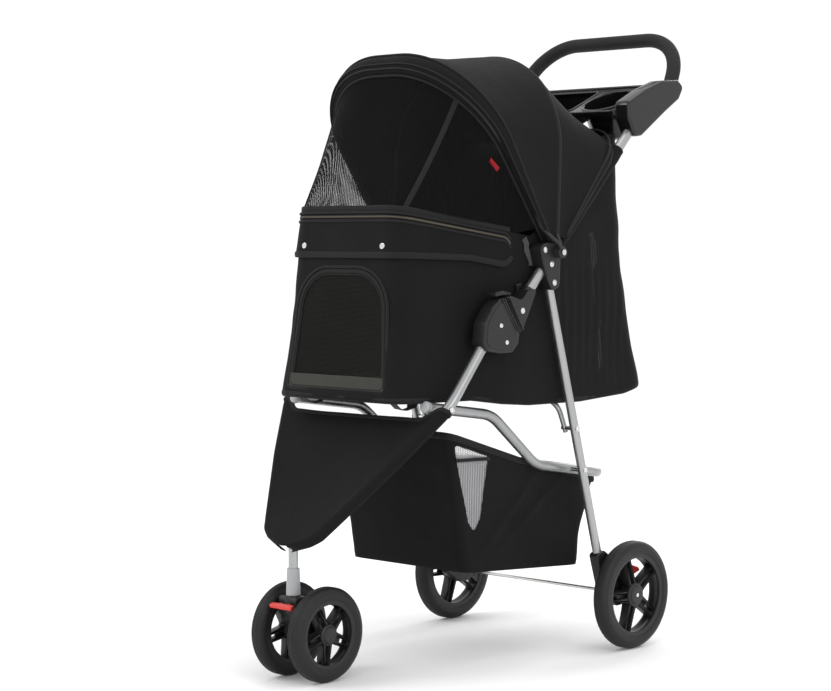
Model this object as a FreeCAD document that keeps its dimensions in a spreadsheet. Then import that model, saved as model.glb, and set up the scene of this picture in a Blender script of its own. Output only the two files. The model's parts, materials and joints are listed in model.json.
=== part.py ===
import FreeCAD, Part
import math
import os

# Folding three-wheel pet stroller. Millimetres, +Z up. The front, with the single caster, faces -Y. Side names
# follow the signs: "left" is +X, "right" is -X. The origin is on the floor under the middle of the outer box.
# Lengthwise stations are written from a datum on the floor near mid wheelbase. `middle_station` brings the box
# to the origin at the very end.

Vector = FreeCAD.Vector
Rotation = FreeCAD.Rotation
Placement = FreeCAD.Placement
X_AXIS = Vector(1, 0, 0)
Z_AXIS = Vector(0, 0, 1)
SIDES = (("left", 1), ("right", -1))

doc = FreeCAD.newDocument("pet_stroller")
sheet = doc.addObject("Spreadsheet::Sheet", "dims")

DIMENSIONS = {
    # wheels and axles
    "middle_station": 7.25,
    "rear_wheel_radius": 85,
    "rear_wheel_width": 27,
    "rear_wheel_side": 194,
    "rear_axle_station": 205,
    "front_wheel_radius": 70,
    "front_wheel_width": 25,
    "front_wheel_side": 39,
    "front_axle_station": -315,
    "stem_station": -342.5,
    "axle_radius": 3,
    "running_gap": 0.05,
    # tubes
    "main_tube_radius": 8,
    "leg_tube_radius": 7,
    "stem_radius": 7,
    "hoop_wire_radius": 3,
    "support_wire_radius": 4,
    "main_tube_side": 170,
    "seat_tube_side": 140,
    "pin_radius": 3,
    "rivet_head_radius": 4.5,
    "rivet_head_height": 2,
    # handle
    "grip_radius": 11.5,
    "grip_half_width": 147,
    "grip_top_height": 976,
    # fabric
    "cabin_half_width": 157,
    "cabin_wall": 3.5,
    "floor_height": 412,
    "board_thickness": 4,
    "cushion_thickness": 18,
    "apron_thickness": 4,
    "basket_wall": 3,
    "canopy_wall": 3,
    # plastic
    "joint_width": 26,
    "tongue_width": 11,
    "bracket_width": 25,
    "latch_width": 16,
    "housing_width": 18,
    "pedal_width": 14,
    "fork_width": 44,
    "lock_width": 46,
    "cup_radius": 41,
    "cup_depth": 55,
    "tray_wall": 3,
}
for row, (alias, value) in enumerate(DIMENSIONS.items(), start=1):
    sheet.set(f"A{row}", alias)
    sheet.set(f"B{row}", str(value))
    sheet.setAlias(f"B{row}", alias)
doc.recompute()


def cell(alias):
    return float(sheet.get(alias))


PARTS = []


def keep(part, label):
    """Name a finished sub-part. The label is the name of its file."""
    part.Label = label
    PARTS.append(part)
    return part


# ---------------------------------------------------------------- shared makers


def rounded(points, closed=False):
    """Lines and tangent arcs through (point, corner radius) pairs."""
    count = len(points)
    starts, ends, arcs = [], [], []
    for index, (corner, radius) in enumerate(points):
        at_end = not closed and index in (0, count - 1)
        if at_end or radius == 0:
            starts.append(corner)
            ends.append(corner)
            arcs.append(None)
            continue
        before = (points[index - 1][0] - corner).normalize()
        after = (points[(index + 1) % count][0] - corner).normalize()
        half = before.getAngle(after) / 2
        run = radius / math.tan(half)
        middle = (before + after).normalize() * (radius / math.sin(half) - radius)
        starts.append(corner + before * run)
        ends.append(corner + after * run)
        arcs.append(Part.Arc(corner + before * run, corner + middle, corner + after * run))
    geometry = []
    for index in range(count):
        if arcs[index]:
            geometry.append(arcs[index])
        if index == count - 1 and not closed:
            break
        following = (index + 1) % count
        if ends[index].distanceToPoint(starts[following]) > 1e-6:
            geometry.append(Part.LineSegment(ends[index], starts[following]))
    return geometry


def tube(name, points, radius_alias):
    """A round bar swept along straight runs and tangent arcs."""
    route = doc.addObject("Part::Feature", name + "_route")
    route.Shape = Part.Wire([piece.toShape() for piece in rounded(points)])
    ring = doc.addObject("Part::Circle", name + "_ring")
    ring.setExpression("Radius", "dims." + radius_alias)
    direction = points[1][0] - points[0][0]
    ring.Placement = Placement(points[0][0], Rotation(Z_AXIS, direction))
    sweep = doc.addObject("Part::Sweep", name + "_sweep")
    sweep.Sections = [ring]
    sweep.Spine = (route, [f"Edge{number + 1}" for number in range(len(route.Shape.Edges))])
    sweep.Solid = True
    sweep.Frenet = False
    return sweep


def rod(name, radius_alias, start, end, gap=""):
    """A cylinder from one point to another. gap widens it for use as a bore."""
    cylinder = doc.addObject("Part::Cylinder", name)
    cylinder.setExpression("Radius", f"dims.{radius_alias}{gap}")
    cylinder.Height = start.distanceToPoint(end)
    cylinder.Placement = Placement(start, Rotation(Z_AXIS, end - start))
    return cylinder


def disc(name, radius, start, end):
    cylinder = doc.addObject("Part::Cylinder", name)
    cylinder.Radius = radius
    cylinder.Height = start.distanceToPoint(end)
    cylinder.Placement = Placement(start, Rotation(Z_AXIS, end - start))
    return cylinder


def cut(name, base, *tools):
    result = base
    for number, tool in enumerate(tools, start=1):
        step = doc.addObject("Part::Cut", f"{name}_cut{number}")
        step.Base = result
        step.Tool = tool
        result = step
    return result


def fuse(name, *pieces):
    result = doc.addObject("Part::MultiFuse", name + "_fuse")
    result.Shapes = list(pieces)
    return result


def group(name, pieces):
    """Separate solids kept in one node."""
    result = doc.addObject("Part::Compound", name + "_group")
    result.Links = list(pieces)
    return result


def origin_plane(body, role):
    return next(feature for feature in body.Origin.OriginFeatures if feature.Role == role)


def plate(name, role, outline, thickness_alias, offset):
    """A PartDesign pad of a rounded outline on an origin plane. offset is along the plane's normal."""
    body = doc.addObject("PartDesign::Body", name + "_body")
    sketch = body.newObject("Sketcher::SketchObject", name + "_outline")
    sketch.AttachmentSupport = [(origin_plane(body, role), "")]
    sketch.MapMode = "FlatFace"
    sketch.AttachmentOffset = Placement(Vector(0, 0, offset), Rotation())
    corners = [(Vector(across, up, 0), radius) for across, up, radius in outline]
    sketch.addGeometry(rounded(corners, closed=True), False)
    pad = body.newObject("PartDesign::Pad", name + "_pad")
    pad.Profile = sketch
    pad.setExpression("Length", "dims." + thickness_alias)
    body.Tip = pad
    doc.recompute()
    return body


def side_plate(name, outline, thickness_alias, near_x, side):
    """A plate whose outline is drawn in side view (station, height). near_x is its inner face."""
    start = near_x if side > 0 else -near_x - cell(thickness_alias)
    return plate(name, "YZ_Plane", outline, thickness_alias, start)


def side_points(x, pairs):
    """(station, height, radius) triples as route points at one distance from the centre plane."""
    return [(Vector(x, station, height), radius) for station, height, radius in pairs]


def across(x, station, height):
    return Vector(x, station, height)


# ---------------------------------------------------------------- the folding linkage
# Side-view positions of the four pivots, (station, height), and the line of each tube.

SEAT_PIVOT = (-192, 399.5)
HINGE_PIVOT = (-81, 494)
LEG_PIVOT = (28, 581)
REAR_PIVOT = (111, 288)
CANOPY_PIVOT = (35, 627)
LOWER_ANGLE = math.radians(50.64)
UPPER_ANGLE = math.radians(45.9)
LEG_SLOPE = (REAR_PIVOT[0] - LEG_PIVOT[0]) / (REAR_PIVOT[1] - LEG_PIVOT[1])

side_x = cell("main_tube_side")
seat_x = cell("seat_tube_side")


def lower_line(distance):
    """A point of the lower main tube's axis, measured upwards from the seat pivot."""
    return (
        SEAT_PIVOT[0] + distance * math.cos(LOWER_ANGLE),
        SEAT_PIVOT[1] + distance * math.sin(LOWER_ANGLE),
    )


def upper_line(distance):
    """A point of the upper main tube's axis, measured upwards from its lower rivet."""
    return -48 + distance * math.cos(UPPER_ANGLE), 537.3 + distance * math.sin(UPPER_ANGLE)


def leg_line(height):
    return REAR_PIVOT[0] + (height - REAR_PIVOT[1]) * LEG_SLOPE, height


def pin_bore(name, pivot, side, near_x, far_x):
    return rod(name, "pin_radius", across(side * near_x, *pivot), across(side * far_x, *pivot), " + dims.running_gap")


# ---------------------------------------------------------------- seat frame
# One steel tube bent to a U: a stub under the cabin's front, a dip, and a low rear loop for the basket.

seat_tube_run = [(-206, 402, 0), (-66.5, 383, 70), (34.5, 300.5, 70), (212, 273, 45)]
left_run = side_points(seat_x, seat_tube_run)
right_run = [(Vector(-point.x, point.y, point.z), radius) for point, radius in reversed(left_run)]
seat_tube = tube("seat_tube", left_run + right_run, "main_tube_radius")
seat_bores = [pin_bore(f"seat_bore_{name}", REAR_PIVOT, side, 125, 155) for name, side in SIDES]
keep(cut("seat_tube", seat_tube, *seat_bores), "seat_tube")

stub_direction = (left_run[0][0] - left_run[1][0]).normalize()
caps = []
for name, side in SIDES:
    end = Vector(side * seat_x, left_run[0][0].y, left_run[0][0].z)
    caps.append(disc(f"seat_cap_{name}", cell("main_tube_radius") + 1, end, end + stub_direction * 6))
keep(group("seat_tube_caps", caps), "seat_tube_caps")

# ---------------------------------------------------------------- cabin
# A sewn box on the seat frame. Each level is (height, half width, rear station, front half width, front station).

cabin_x = cell("cabin_half_width")
CABIN_LEVELS = [
    (394, cabin_x - 1, 290, 133, -259),
    (423, cabin_x, 287, 131, -256),
    (485, cabin_x, 268, 124, -249),
    (550, cabin_x, 252, 118, -243),
    (630, cabin_x - 1, 236, 112, -237),
    (690, cabin_x - 2, 232, 108, -233),
    (810, cabin_x - 4, 229, 100, -226),
]
SHOULDER_STATION = -40


def cabin_section(level, inset):
    """The plan outline of the cabin at one level, drawn in by inset."""
    height, half, rear, front_half, front = level
    corners = [
        (half - inset, rear - inset, 36 - inset),
        (half - inset, SHOULDER_STATION, 160),
        (front_half - inset, front + inset, 34 - inset),
        (-front_half + inset, front + inset, 34 - inset),
        (-half + inset, SHOULDER_STATION, 160),
        (-half + inset, rear - inset, 36 - inset),
    ]
    points = [(Vector(x, station, height), radius) for x, station, radius in corners]
    return Part.Wire([piece.toShape() for piece in rounded(points, closed=True)])


def cabin_block(inset, lowest=CABIN_LEVELS[0][0], highest=CABIN_LEVELS[-1][0]):
    """The solid outline of the cabin between two heights."""
    block = Part.makeLoft([cabin_section(level, inset) for level in CABIN_LEVELS], True, True)
    width = 2 * cabin_x + 100
    slab = Part.makeBox(width, 800, highest - lowest, Vector(-width / 2, -400, lowest))
    return block.common(slab)


def side_prism(outline, half_width=260):
    """A prism across the whole width over a side-view outline."""
    corners = [Vector(-half_width, station, height) for station, height in outline]
    face = Part.Face(Part.makePolygon(corners + corners[:1]))
    return face.extrude(Vector(2 * half_width, 0, 0))


# The rim runs level at the front, drops to the leg brackets and climbs beside the handle tubes.
RIM = [(-400, 688), (-233, 688), (-42, 655), (5, 622), (48, 634), (214, 805), (400, 805)]
rim_tool = side_prism(RIM + [(400, 960), (-400, 960)])
# The bottom hem hangs lower beside the seat tube than over its front stubs.
HEM = [(-400, 411), (-90, 411), (-55, 396), (120, 395), (230, 404), (300, 424), (400, 424)]
hem_tool = side_prism(HEM + [(400, 300), (-400, 300)])

wall = cell("cabin_wall")
floor_height = cell("floor_height")
door_sill = 424


def front_door_prism(grow):
    """The front doorway: an arch drawn on the front wall, pushed through it."""
    corners = [
        (Vector(103 + grow, -300, door_sill - grow), 8),
        (Vector(88 + grow, -300, 603 + grow), 62),
        (Vector(-88 - grow, -300, 603 + grow), 62),
        (Vector(-103 - grow, -300, door_sill - grow), 8),
    ]
    wire = Part.Wire([piece.toShape() for piece in rounded(corners, closed=True)])
    return Part.Face(wire).extrude(Vector(0, 90, 0))


def rear_door_prism(grow):
    """The rear doorway, a tall flap between two zips."""
    corners = [
        (Vector(104 + grow, 200, door_sill + 14 - grow), 12),
        (Vector(100 + grow, 200, 770 + grow), 12),
        (Vector(-100 - grow, 200, 770 + grow), 12),
        (Vector(-104 - grow, 200, door_sill + 14 - grow), 12),
    ]
    wire = Part.Wire([piece.toShape() for piece in rounded(corners, closed=True)])
    return Part.Face(wire).extrude(Vector(0, 120, 0))


cabin_skin = cabin_block(0).cut(rim_tool).cut(hem_tool)
cabin_skin = cabin_skin.cut(cabin_block(wall, lowest=floor_height + wall))
cabin_skin = cabin_skin.cut(cabin_block(wall, highest=floor_height))
DOOR_GAP = 0.6
cabin = doc.addObject("Part::Feature", "cabin")
cabin.Shape = cabin_skin.cut(front_door_prism(DOOR_GAP)).cut(rear_door_prism(DOOR_GAP))
keep(cabin, "cabin_shell")
front_door = doc.addObject("Part::Feature", "front_door")
front_door.Shape = cabin_skin.common(front_door_prism(0))
keep(front_door, "front_door")
rear_door = doc.addObject("Part::Feature", "rear_door")
rear_door.Shape = cabin_skin.common(rear_door_prism(0))
keep(rear_door, "rear_door")

# The wide band round the cabin's front, folded down over the snaps.
BAND_STATION = -52
band = doc.addObject("Part::Feature", "band")
band_zone = side_prism([(-400, 624), (-120, 620), (BAND_STATION, 606), (BAND_STATION, 650), (-233, 685), (-400, 685)])
band.Shape = cabin_block(-2.4).cut(cabin_block(-0.4)).common(band_zone)
keep(band, "cabin_band")

# A stiff board and a pad lie on the cabin's floor.
FLOOR_OUTLINE = [(146, 250, 30), (146, -48, 150), (118, -238, 26), (-118, -238, 26), (-146, -48, 150), (-146, 250, 30)]
board_base = floor_height + wall + 0.3
keep(plate("floor_board", "XY_Plane", FLOOR_OUTLINE, "board_thickness", board_base), "floor_board")
cushion_base = board_base + cell("board_thickness") + 0.3
CUSHION_OUTLINE = [(x * 0.97, station * 0.98, radius) for x, station, radius in FLOOR_OUTLINE]
keep(plate("floor_cushion", "XY_Plane", CUSHION_OUTLINE, "cushion_thickness", cushion_base), "floor_cushion")

# ---------------------------------------------------------------- basket
# An open-topped bag hung from the low rear loop of the seat tube.

basket_wall = cell("basket_wall")


def basket_block(inset, lift):
    """The bag between its sloping bottom and its sloping rim."""
    rim = [(131, 200, 262), (131, -148, 355), (-131, -148, 355), (-131, 200, 262)]
    base = [(124, 167, 130), (124, -106, 146), (-124, -106, 146), (-124, 167, 130)]
    wires = []
    for corners, raise_by in ((base, inset), (rim, lift)):
        points = []
        for x, station, height in corners:
            inward = -inset if station > 0 else inset
            x_inner = x - inset if x > 0 else x + inset
            points.append((Vector(x_inner, station + inward, height + raise_by), 22 - inset))
        wires.append(Part.Wire([piece.toShape() for piece in rounded(points, closed=True)]))
    return Part.makeLoft(wires, True, True)


basket = doc.addObject("Part::Feature", "basket")
basket.Shape = basket_block(0, 0).cut(basket_block(basket_wall, 2))
keep(basket, "basket")

# ---------------------------------------------------------------- rear legs
# Two straight tubes from the handle brackets to the axle housings, crossing the seat tube on a pin.

LEG_TOP, LEG_FOOT = 589, 104
SUPPORT_RIVET = leg_line(354)
HOUSING = [
    (138, 154, 6), (158, 158, 6), (214, 120, 8), (226, 92, 12), (216, 68, 12), (190, 66, 12), (160, 84, 14),
]
PEDAL_PIVOT = (222, 118)
for name, side in SIDES:
    leg = rod(f"leg_{name}", "leg_tube_radius", across(side * side_x, *leg_line(LEG_FOOT)),
              across(side * side_x, *leg_line(LEG_TOP)))
    bores = [
        pin_bore(f"leg_bore_{pivot_name}_{name}", pivot, side, 150, 190)
        for pivot_name, pivot in (("top", LEG_PIVOT), ("middle", REAR_PIVOT), ("support", SUPPORT_RIVET))
    ]
    keep(cut(f"leg_{name}", leg, *bores), f"rear_leg_{name}")

    block = side_plate(f"housing_{name}", HOUSING, "housing_width", 160.5, side)
    socket = rod(f"housing_socket_{name}", "leg_tube_radius", across(side * side_x, *leg_line(LEG_FOOT)),
                 across(side * side_x, *leg_line(LEG_TOP)))
    axle_bore = rod(f"housing_bore_{name}", "axle_radius", across(side * 150, cell("rear_axle_station"), 85),
                    across(side * 190, cell("rear_axle_station"), 85))
    lug = disc(f"pedal_lug_{name}", 7, across(side * 173, *PEDAL_PIVOT), across(side * 178.5, *PEDAL_PIVOT))
    pin = disc(f"pedal_pin_{name}", 2.5, across(side * 155, *PEDAL_PIVOT), across(side * 175, *PEDAL_PIVOT))
    pedal_room = disc(f"pedal_room_{name}", 12, across(side * 150, *PEDAL_PIVOT), across(side * 173, *PEDAL_PIVOT))
    solid = cut(f"housing_{name}", block, socket, axle_bore, pedal_room)
    keep(fuse(f"housing_{name}", solid, lug, pin), f"rear_wheel_housing_{name}")

axle_height = cell("rear_wheel_radius")
axle_half = 207
keep(rod("rear_axle", "axle_radius", across(-axle_half, cell("rear_axle_station"), axle_height),
         across(axle_half, cell("rear_axle_station"), axle_height)), "rear_axle")

support_half = [(150, *SUPPORT_RIVET, 0), (150, 72, 400, 26)]
support_points = [(Vector(x, station, height), radius) for x, station, height, radius in support_half]
support_points += [(Vector(-point.x, point.y, point.z), radius) for point, radius in reversed(support_points)]
support_points[0] = (support_points[0][0] + Vector(0, 3, -6), 0)
support_points[-1] = (support_points[-1][0] + Vector(0, 3, -6), 0)
support = tube("support", support_points, "support_wire_radius")
support_bores = [pin_bore(f"support_bore_{name}", SUPPORT_RIVET, side, 140, 160) for name, side in SIDES]
keep(cut("support", support, *support_bores), "floor_support_hoop")

leg_pins = []
for name, side in SIDES:
    leg_pins.append(rod(f"rear_pin_{name}", "pin_radius", across(side * 132.5, *REAR_PIVOT),
                        across(side * 177.5, *REAR_PIVOT)))
    leg_pins.append(rod(f"support_pin_{name}", "pin_radius", across(side * 145, *SUPPORT_RIVET),
                        across(side * 178.5, *SUPPORT_RIVET)))
keep(group("leg_pins", leg_pins), "leg_pins")

# ---------------------------------------------------------------- wheels
# Foam tyre on a moulded rim with five double spokes. The hub is blind on its outer side.


def wheel(name, side_of_vehicle, centre, radius, width, rim_radius, hub_radius, blind):
    """A tyre and a rim, revolved and patterned about the axle line."""
    tyre = doc.addObject("PartDesign::Body", name + "_tyre_body")
    section = tyre.newObject("Sketcher::SketchObject", name + "_tyre_section")
    section.AttachmentSupport = [(origin_plane(tyre, "XY_Plane"), "")]
    section.MapMode = "FlatFace"
    half = width / 2
    seat = rim_radius + 3
    outline = [(-half + 2, seat, 1), (-half, radius - 9, 6), (-half + 5, radius, 8), (half - 5, radius, 8),
               (half, radius - 9, 6), (half - 2, seat, 1)]
    section.addGeometry(rounded([(Vector(x, y, 0), r) for x, y, r in outline], closed=True), False)
    turned = tyre.newObject("PartDesign::Revolution", name + "_tyre_turn")
    turned.Profile = section
    turned.ReferenceAxis = (section, ["H_Axis"])
    turned.Angle = 360
    tyre.Tip = turned
    tyre.Placement = Placement(centre, Rotation())
    keep(tyre, name + "_tyre")

    rim = doc.addObject("PartDesign::Body", name + "_rim_body")
    ring = rim.newObject("Sketcher::SketchObject", name + "_rim_section")
    ring.AttachmentSupport = [(origin_plane(rim, "XY_Plane"), "")]
    ring.MapMode = "FlatFace"
    depth = half - 3
    ring_outline = [(-depth, rim_radius - 3, 1), (-depth, seat, 1), (depth, seat, 1), (depth, rim_radius - 3, 1)]
    ring.addGeometry(rounded([(Vector(x, y, 0), r) for x, y, r in ring_outline], closed=True), False)
    rim_turn = rim.newObject("PartDesign::Revolution", name + "_rim_turn")
    rim_turn.Profile = ring
    rim_turn.ReferenceAxis = (ring, ["H_Axis"])
    rim_turn.Angle = 360
    hub = rim.newObject("Sketcher::SketchObject", name + "_hub_circle")
    hub.AttachmentSupport = [(origin_plane(rim, "YZ_Plane"), "")]
    hub.MapMode = "FlatFace"
    hub.AttachmentOffset = Placement(Vector(0, 0, -half), Rotation())
    hub.addGeometry(Part.Circle(Vector(0, 0, 0), Z_AXIS, hub_radius), False)
    hub_pad = rim.newObject("PartDesign::Pad", name + "_hub_pad")
    hub_pad.Profile = hub
    hub_pad.Length = width
    spoke = rim.newObject("Sketcher::SketchObject", name + "_spoke_outline")
    spoke.AttachmentSupport = [(origin_plane(rim, "YZ_Plane"), "")]
    spoke.MapMode = "FlatFace"
    spoke.AttachmentOffset = Placement(Vector(0, 0, -half + 6), Rotation())
    for edge in (1, -1):
        bar = [(edge * 2.5, hub_radius - 2, 0), (edge * 8.5, hub_radius - 2, 0), (edge * 7.5, rim_radius, 0),
               (edge * 2.5, rim_radius, 0)]
        spoke.addGeometry(rounded([(Vector(x, y, 0), r) for x, y, r in bar], closed=True), False)
    spoke_pad = rim.newObject("PartDesign::Pad", name + "_spoke_pad")
    spoke_pad.Profile = spoke
    spoke_pad.Length = width - 12
    pattern = rim.newObject("PartDesign::PolarPattern", name + "_spokes")
    pattern.Originals = [spoke_pad]
    pattern.Axis = (hub, ["N_Axis"])
    pattern.Angle = 360
    pattern.Occurrences = 5
    rim.Tip = pattern
    rim.Placement = Placement(centre, Rotation())
    doc.recompute()
    outer_face = centre.x + side_of_vehicle * half
    bore_end = outer_face - side_of_vehicle * blind
    bore = rod(name + "_bore", "axle_radius", Vector(centre.x - side_of_vehicle * (half + 5), centre.y, centre.z),
               Vector(bore_end, centre.y, centre.z), " + dims.running_gap")
    keep(cut(name + "_rim", rim, bore), name + "_rim")


for name, side in SIDES:
    wheel(f"rear_wheel_{name}", side,
          Vector(side * cell("rear_wheel_side"), cell("rear_axle_station"), cell("rear_wheel_radius")),
          cell("rear_wheel_radius"), cell("rear_wheel_width"), 62, 19, 0.45)
    wheel(f"front_wheel_{name}", side,
          Vector(side * cell("front_wheel_side"), cell("front_axle_station"), cell("front_wheel_radius")),
          cell("front_wheel_radius"), cell("front_wheel_width"), 48, 16, 1.4)

# ---------------------------------------------------------------- brake pedals

for name, side in SIDES:
    outline = [(213, 126, 5), (231, 127, 5), (252, 121, 2), (256, 115, 2), (232, 108, 5), (213, 109, 5)]
    pedal = side_plate(f"pedal_{name}", outline, "pedal_width", 158, side)
    bore = disc(f"pedal_bore_{name}", 2.5 + cell("running_gap"), across(side * 150, *PEDAL_PIVOT),
                across(side * 180, *PEDAL_PIVOT))
    keep(cut(f"pedal_{name}", pedal, bore), f"brake_pedal_{name}")

# ---------------------------------------------------------------- handle
# Two tubes from the fold joints to the cup tray, whose cheeks also hold the padded push bar.

TUBE_TOP = 413
for name, side in SIDES:
    keep(rod(f"upper_tube_{name}", "main_tube_radius", across(side * side_x, *upper_line(-8)),
             across(side * side_x, *upper_line(TUBE_TOP))), f"upper_tube_{name}")

LOOP_SLOPE = math.radians(59.6)
loop_top = cell("grip_top_height")
LOOP_TOP_STATION = 388


def loop_point(x, down):
    """A point of the push bar's plane, measured down the slope from its top."""
    return Vector(x, LOOP_TOP_STATION - down * math.cos(LOOP_SLOPE), loop_top - down * math.sin(LOOP_SLOPE))


grip_x = cell("grip_half_width")


def loop_route(end_down):
    end_x = grip_x + 0.145 * end_down
    return [(loop_point(end_x, end_down), 0), (loop_point(grip_x, 0), 84), (loop_point(-grip_x, 0), 84),
            (loop_point(-end_x, end_down), 0)]


keep(tube("handle_loop", loop_route(124), "main_tube_radius"), "handle_loop")
grip_outer = tube("grip_outer", loop_route(98), "grip_radius")
grip_inner = tube("grip_inner", loop_route(98), "main_tube_radius")
keep(cut("foam_grip", grip_outer, grip_inner), "foam_grip")

# The tray is moulded in one piece: a rim plate with two cup wells and a middle well, and a cheek at each end.
TRAY_SLOPE = 24
TRAY_CENTRE = Vector(0, 250, 868)
tray_turn = Rotation(X_AXIS, TRAY_SLOPE)
tray_wall = cell("tray_wall")


def tray_box(half_x, low_v, high_v, low_w, high_w):
    size_v = high_v - low_v
    shape = Part.makeBox(2 * half_x, size_v, high_w - low_w, Vector(-half_x, low_v, low_w))
    shape.Placement = Placement(TRAY_CENTRE, tray_turn)
    return shape


def tray_cylinder(x, radius, low_w, high_w):
    shape = Part.makeCylinder(radius, high_w - low_w, Vector(x, 0, low_w))
    shape.Placement = Placement(TRAY_CENTRE, tray_turn)
    return shape


cup_radius, cup_depth = cell("cup_radius"), cell("cup_depth")
CUP_SIDE = 108
tray_shape = tray_box(158, -50, 62, -7, 0)
hollows = [tray_box(54, -38, 46, -30 + tray_wall, 5)]
tray_shape = tray_shape.fuse(tray_box(54 + tray_wall, -38 - tray_wall, 46 + tray_wall, -30, -1))
for name, side in SIDES:
    tray_shape = tray_shape.fuse(tray_cylinder(side * CUP_SIDE, cup_radius + tray_wall, -cup_depth, 0))
    hollows.append(tray_cylinder(side * CUP_SIDE, cup_radius, -cup_depth + tray_wall, 5))
for hollow in hollows:
    tray_shape = tray_shape.cut(hollow)
CHEEK = [(207, 832), (222, 808), (238, 812), (258, 829), (290, 855), (316, 884), (323, 899), (300, 899), (200, 852)]
cheek_wire = Part.Wire([
    piece.toShape()
    for piece in rounded([(Vector(156, station, height), 4) for station, height in CHEEK], closed=True)
])
for name, side in SIDES:
    cheek = Part.Face(cheek_wire).extrude(Vector(28, 0, 0))
    if side < 0:
        cheek = cheek.mirror(Vector(), X_AXIS)
    tray_shape = tray_shape.fuse(cheek)
tray = doc.addObject("Part::Feature", "tray")
tray.Shape = tray_shape.removeSplitter()
tray_tools = []
for name, side in SIDES:
    tray_tools.append(rod(f"tray_socket_{name}", "main_tube_radius", across(side * side_x, *upper_line(300)),
                          across(side * side_x, *upper_line(TUBE_TOP))))
    loop_end = loop_point(side * (grip_x + 0.145 * 124), 124)
    loop_on = loop_point(side * (grip_x + 0.145 * 80), 80)
    tray_tools.append(rod(f"tray_loop_socket_{name}", "main_tube_radius", loop_end, loop_on))
keep(cut("tray", tray, *tray_tools), "parent_tray")

# ---------------------------------------------------------------- fold joints
# The lower half is a fork with the hinge pin behind the tube line. The upper half carries the tongue.

LOWER_JOINT = [
    (-131, 493, 8), (-127, 524, 14), (-109, 548, 14), (-92, 560, 6), (-82, 560, 3), (-51, 507, 4), (-54, 491, 10),
    (-67, 478, 12), (-95, 478, 14), (-122, 482, 8),
]
UPPER_JOINT = [
    (-81, 561, 2), (-73, 563, 3), (-56, 547, 6), (-48, 552, 5), (-32, 571, 4), (-12, 573, 4), (-20, 556, 6),
    (-42, 516, 6), (-49.5, 507, 2),
]
TONGUE = [(-58, 548, 3), (-36, 536, 3), (-70, 485, 9), (-90, 485, 9), (-92, 500, 9)]
LATCH = [(-100, 561.5, 3), (-86, 564, 3), (-66, 564.5, 1), (-64, 567, 1), (-84, 571, 4), (-100, 568, 3)]
SLOT = [(-40, 560), (-68, 536), (-96, 504), (-96, 470), (-40, 470)]
joint_width = cell("joint_width")
tongue_width = cell("tongue_width")
joint_x = side_x - joint_width / 2 + 1
for name, side in SIDES:
    tube_socket = rod(f"lower_socket_{name}", "main_tube_radius", across(side * side_x, *lower_line(60)),
                      across(side * side_x, *lower_line(167)))
    fork = side_plate(f"joint_lower_{name}", LOWER_JOINT, "joint_width", joint_x, side)
    slot_wide = tongue_width + 1
    slot_face = Part.Face(Part.makePolygon(
        [Vector(side * (side_x + 1) - slot_wide / 2, y, z) for y, z in SLOT + SLOT[:1]]))
    slot = doc.addObject("Part::Feature", f"fork_slot_{name}")
    slot.Shape = slot_face.extrude(Vector(slot_wide, 0, 0))
    bore = pin_bore(f"fork_bore_{name}", HINGE_PIVOT, side, 150, 190)
    keep(cut(f"joint_lower_{name}", fork, tube_socket, slot, bore), f"fold_joint_lower_{name}")

    sleeve = side_plate(f"joint_upper_{name}", UPPER_JOINT, "joint_width", joint_x, side)
    tongue = side_plate(f"tongue_{name}", TONGUE, "tongue_width", side_x + 1 - tongue_width / 2, side)
    upper_socket = rod(f"upper_socket_{name}", "main_tube_radius", across(side * side_x, *upper_line(-8)),
                       across(side * side_x, *upper_line(80)))
    tongue_bore = pin_bore(f"tongue_bore_{name}", HINGE_PIVOT, side, 150, 190)
    both = fuse(f"joint_upper_{name}", sleeve, tongue)
    keep(cut(f"joint_upper_{name}", both, upper_socket, tongue_bore), f"fold_joint_upper_{name}")

    keep(side_plate(f"latch_{name}", LATCH, "latch_width", 163, side), f"fold_latch_{name}")

# ---------------------------------------------------------------- leg brackets
# Moulded clevis on each upper tube: the rear leg and the two canopy hoops pivot on it.

BRACKET = [(-4, 636, 9), (12, 642, 4), (46, 640, 9), (43, 616, 8), (41, 575, 9), (24, 567, 9), (14, 584, 8), (2, 612, 8)]
bracket_width = cell("bracket_width")
bracket_x = side_x - bracket_width / 2 + 1
for name, side in SIDES:
    block = side_plate(f"bracket_{name}", BRACKET, "bracket_width", bracket_x, side)
    socket = rod(f"bracket_socket_{name}", "main_tube_radius", across(side * side_x, *upper_line(50)),
                 across(side * side_x, *upper_line(170)))
    slot_face = Part.Face(Part.makePolygon([
        Vector(side * side_x - 7.5, y, z)
        for y, z in ((14, 592), (36, 598), (60, 600), (60, 550), (0, 550), (0, 584), (14, 592))
    ]))
    slot = doc.addObject("Part::Feature", f"bracket_slot_{name}")
    slot.Shape = slot_face.extrude(Vector(15, 0, 0))
    keep(cut(f"bracket_{name}", block, socket, slot), f"leg_bracket_{name}")

bracket_face = bracket_x + bracket_width
pins = []
for name, side in SIDES:
    pins.append(rod(f"leg_pin_{name}", "pin_radius", across(side * (side_x - 7.5), *LEG_PIVOT),
                    across(side * (side_x + 7.5), *LEG_PIVOT)))
keep(group("leg_pivot_pins", pins), "leg_pivot_pins")


def rivet_heads(name, places, face_x):
    """Domed steel heads on the outer faces, one (station, height) each."""
    heads = []
    for side_name, side in SIDES:
        for number, place in enumerate(places, start=1):
            start = across(side * face_x, *place)
            end = across(side * (face_x + cell("rivet_head_height")), *place)
            heads.append(rod(f"{name}_{side_name}{number}", "rivet_head_radius", start, end))
    return heads


tube_rivet = upper_line(100)
keep(group("handle_rivets", rivet_heads("bracket_rivet", [LEG_PIVOT, tube_rivet, (7, 631)], bracket_face)
           + rivet_heads("upper_joint_rivet", [upper_line(4)], joint_x + joint_width)), "handle_rivets")

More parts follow.
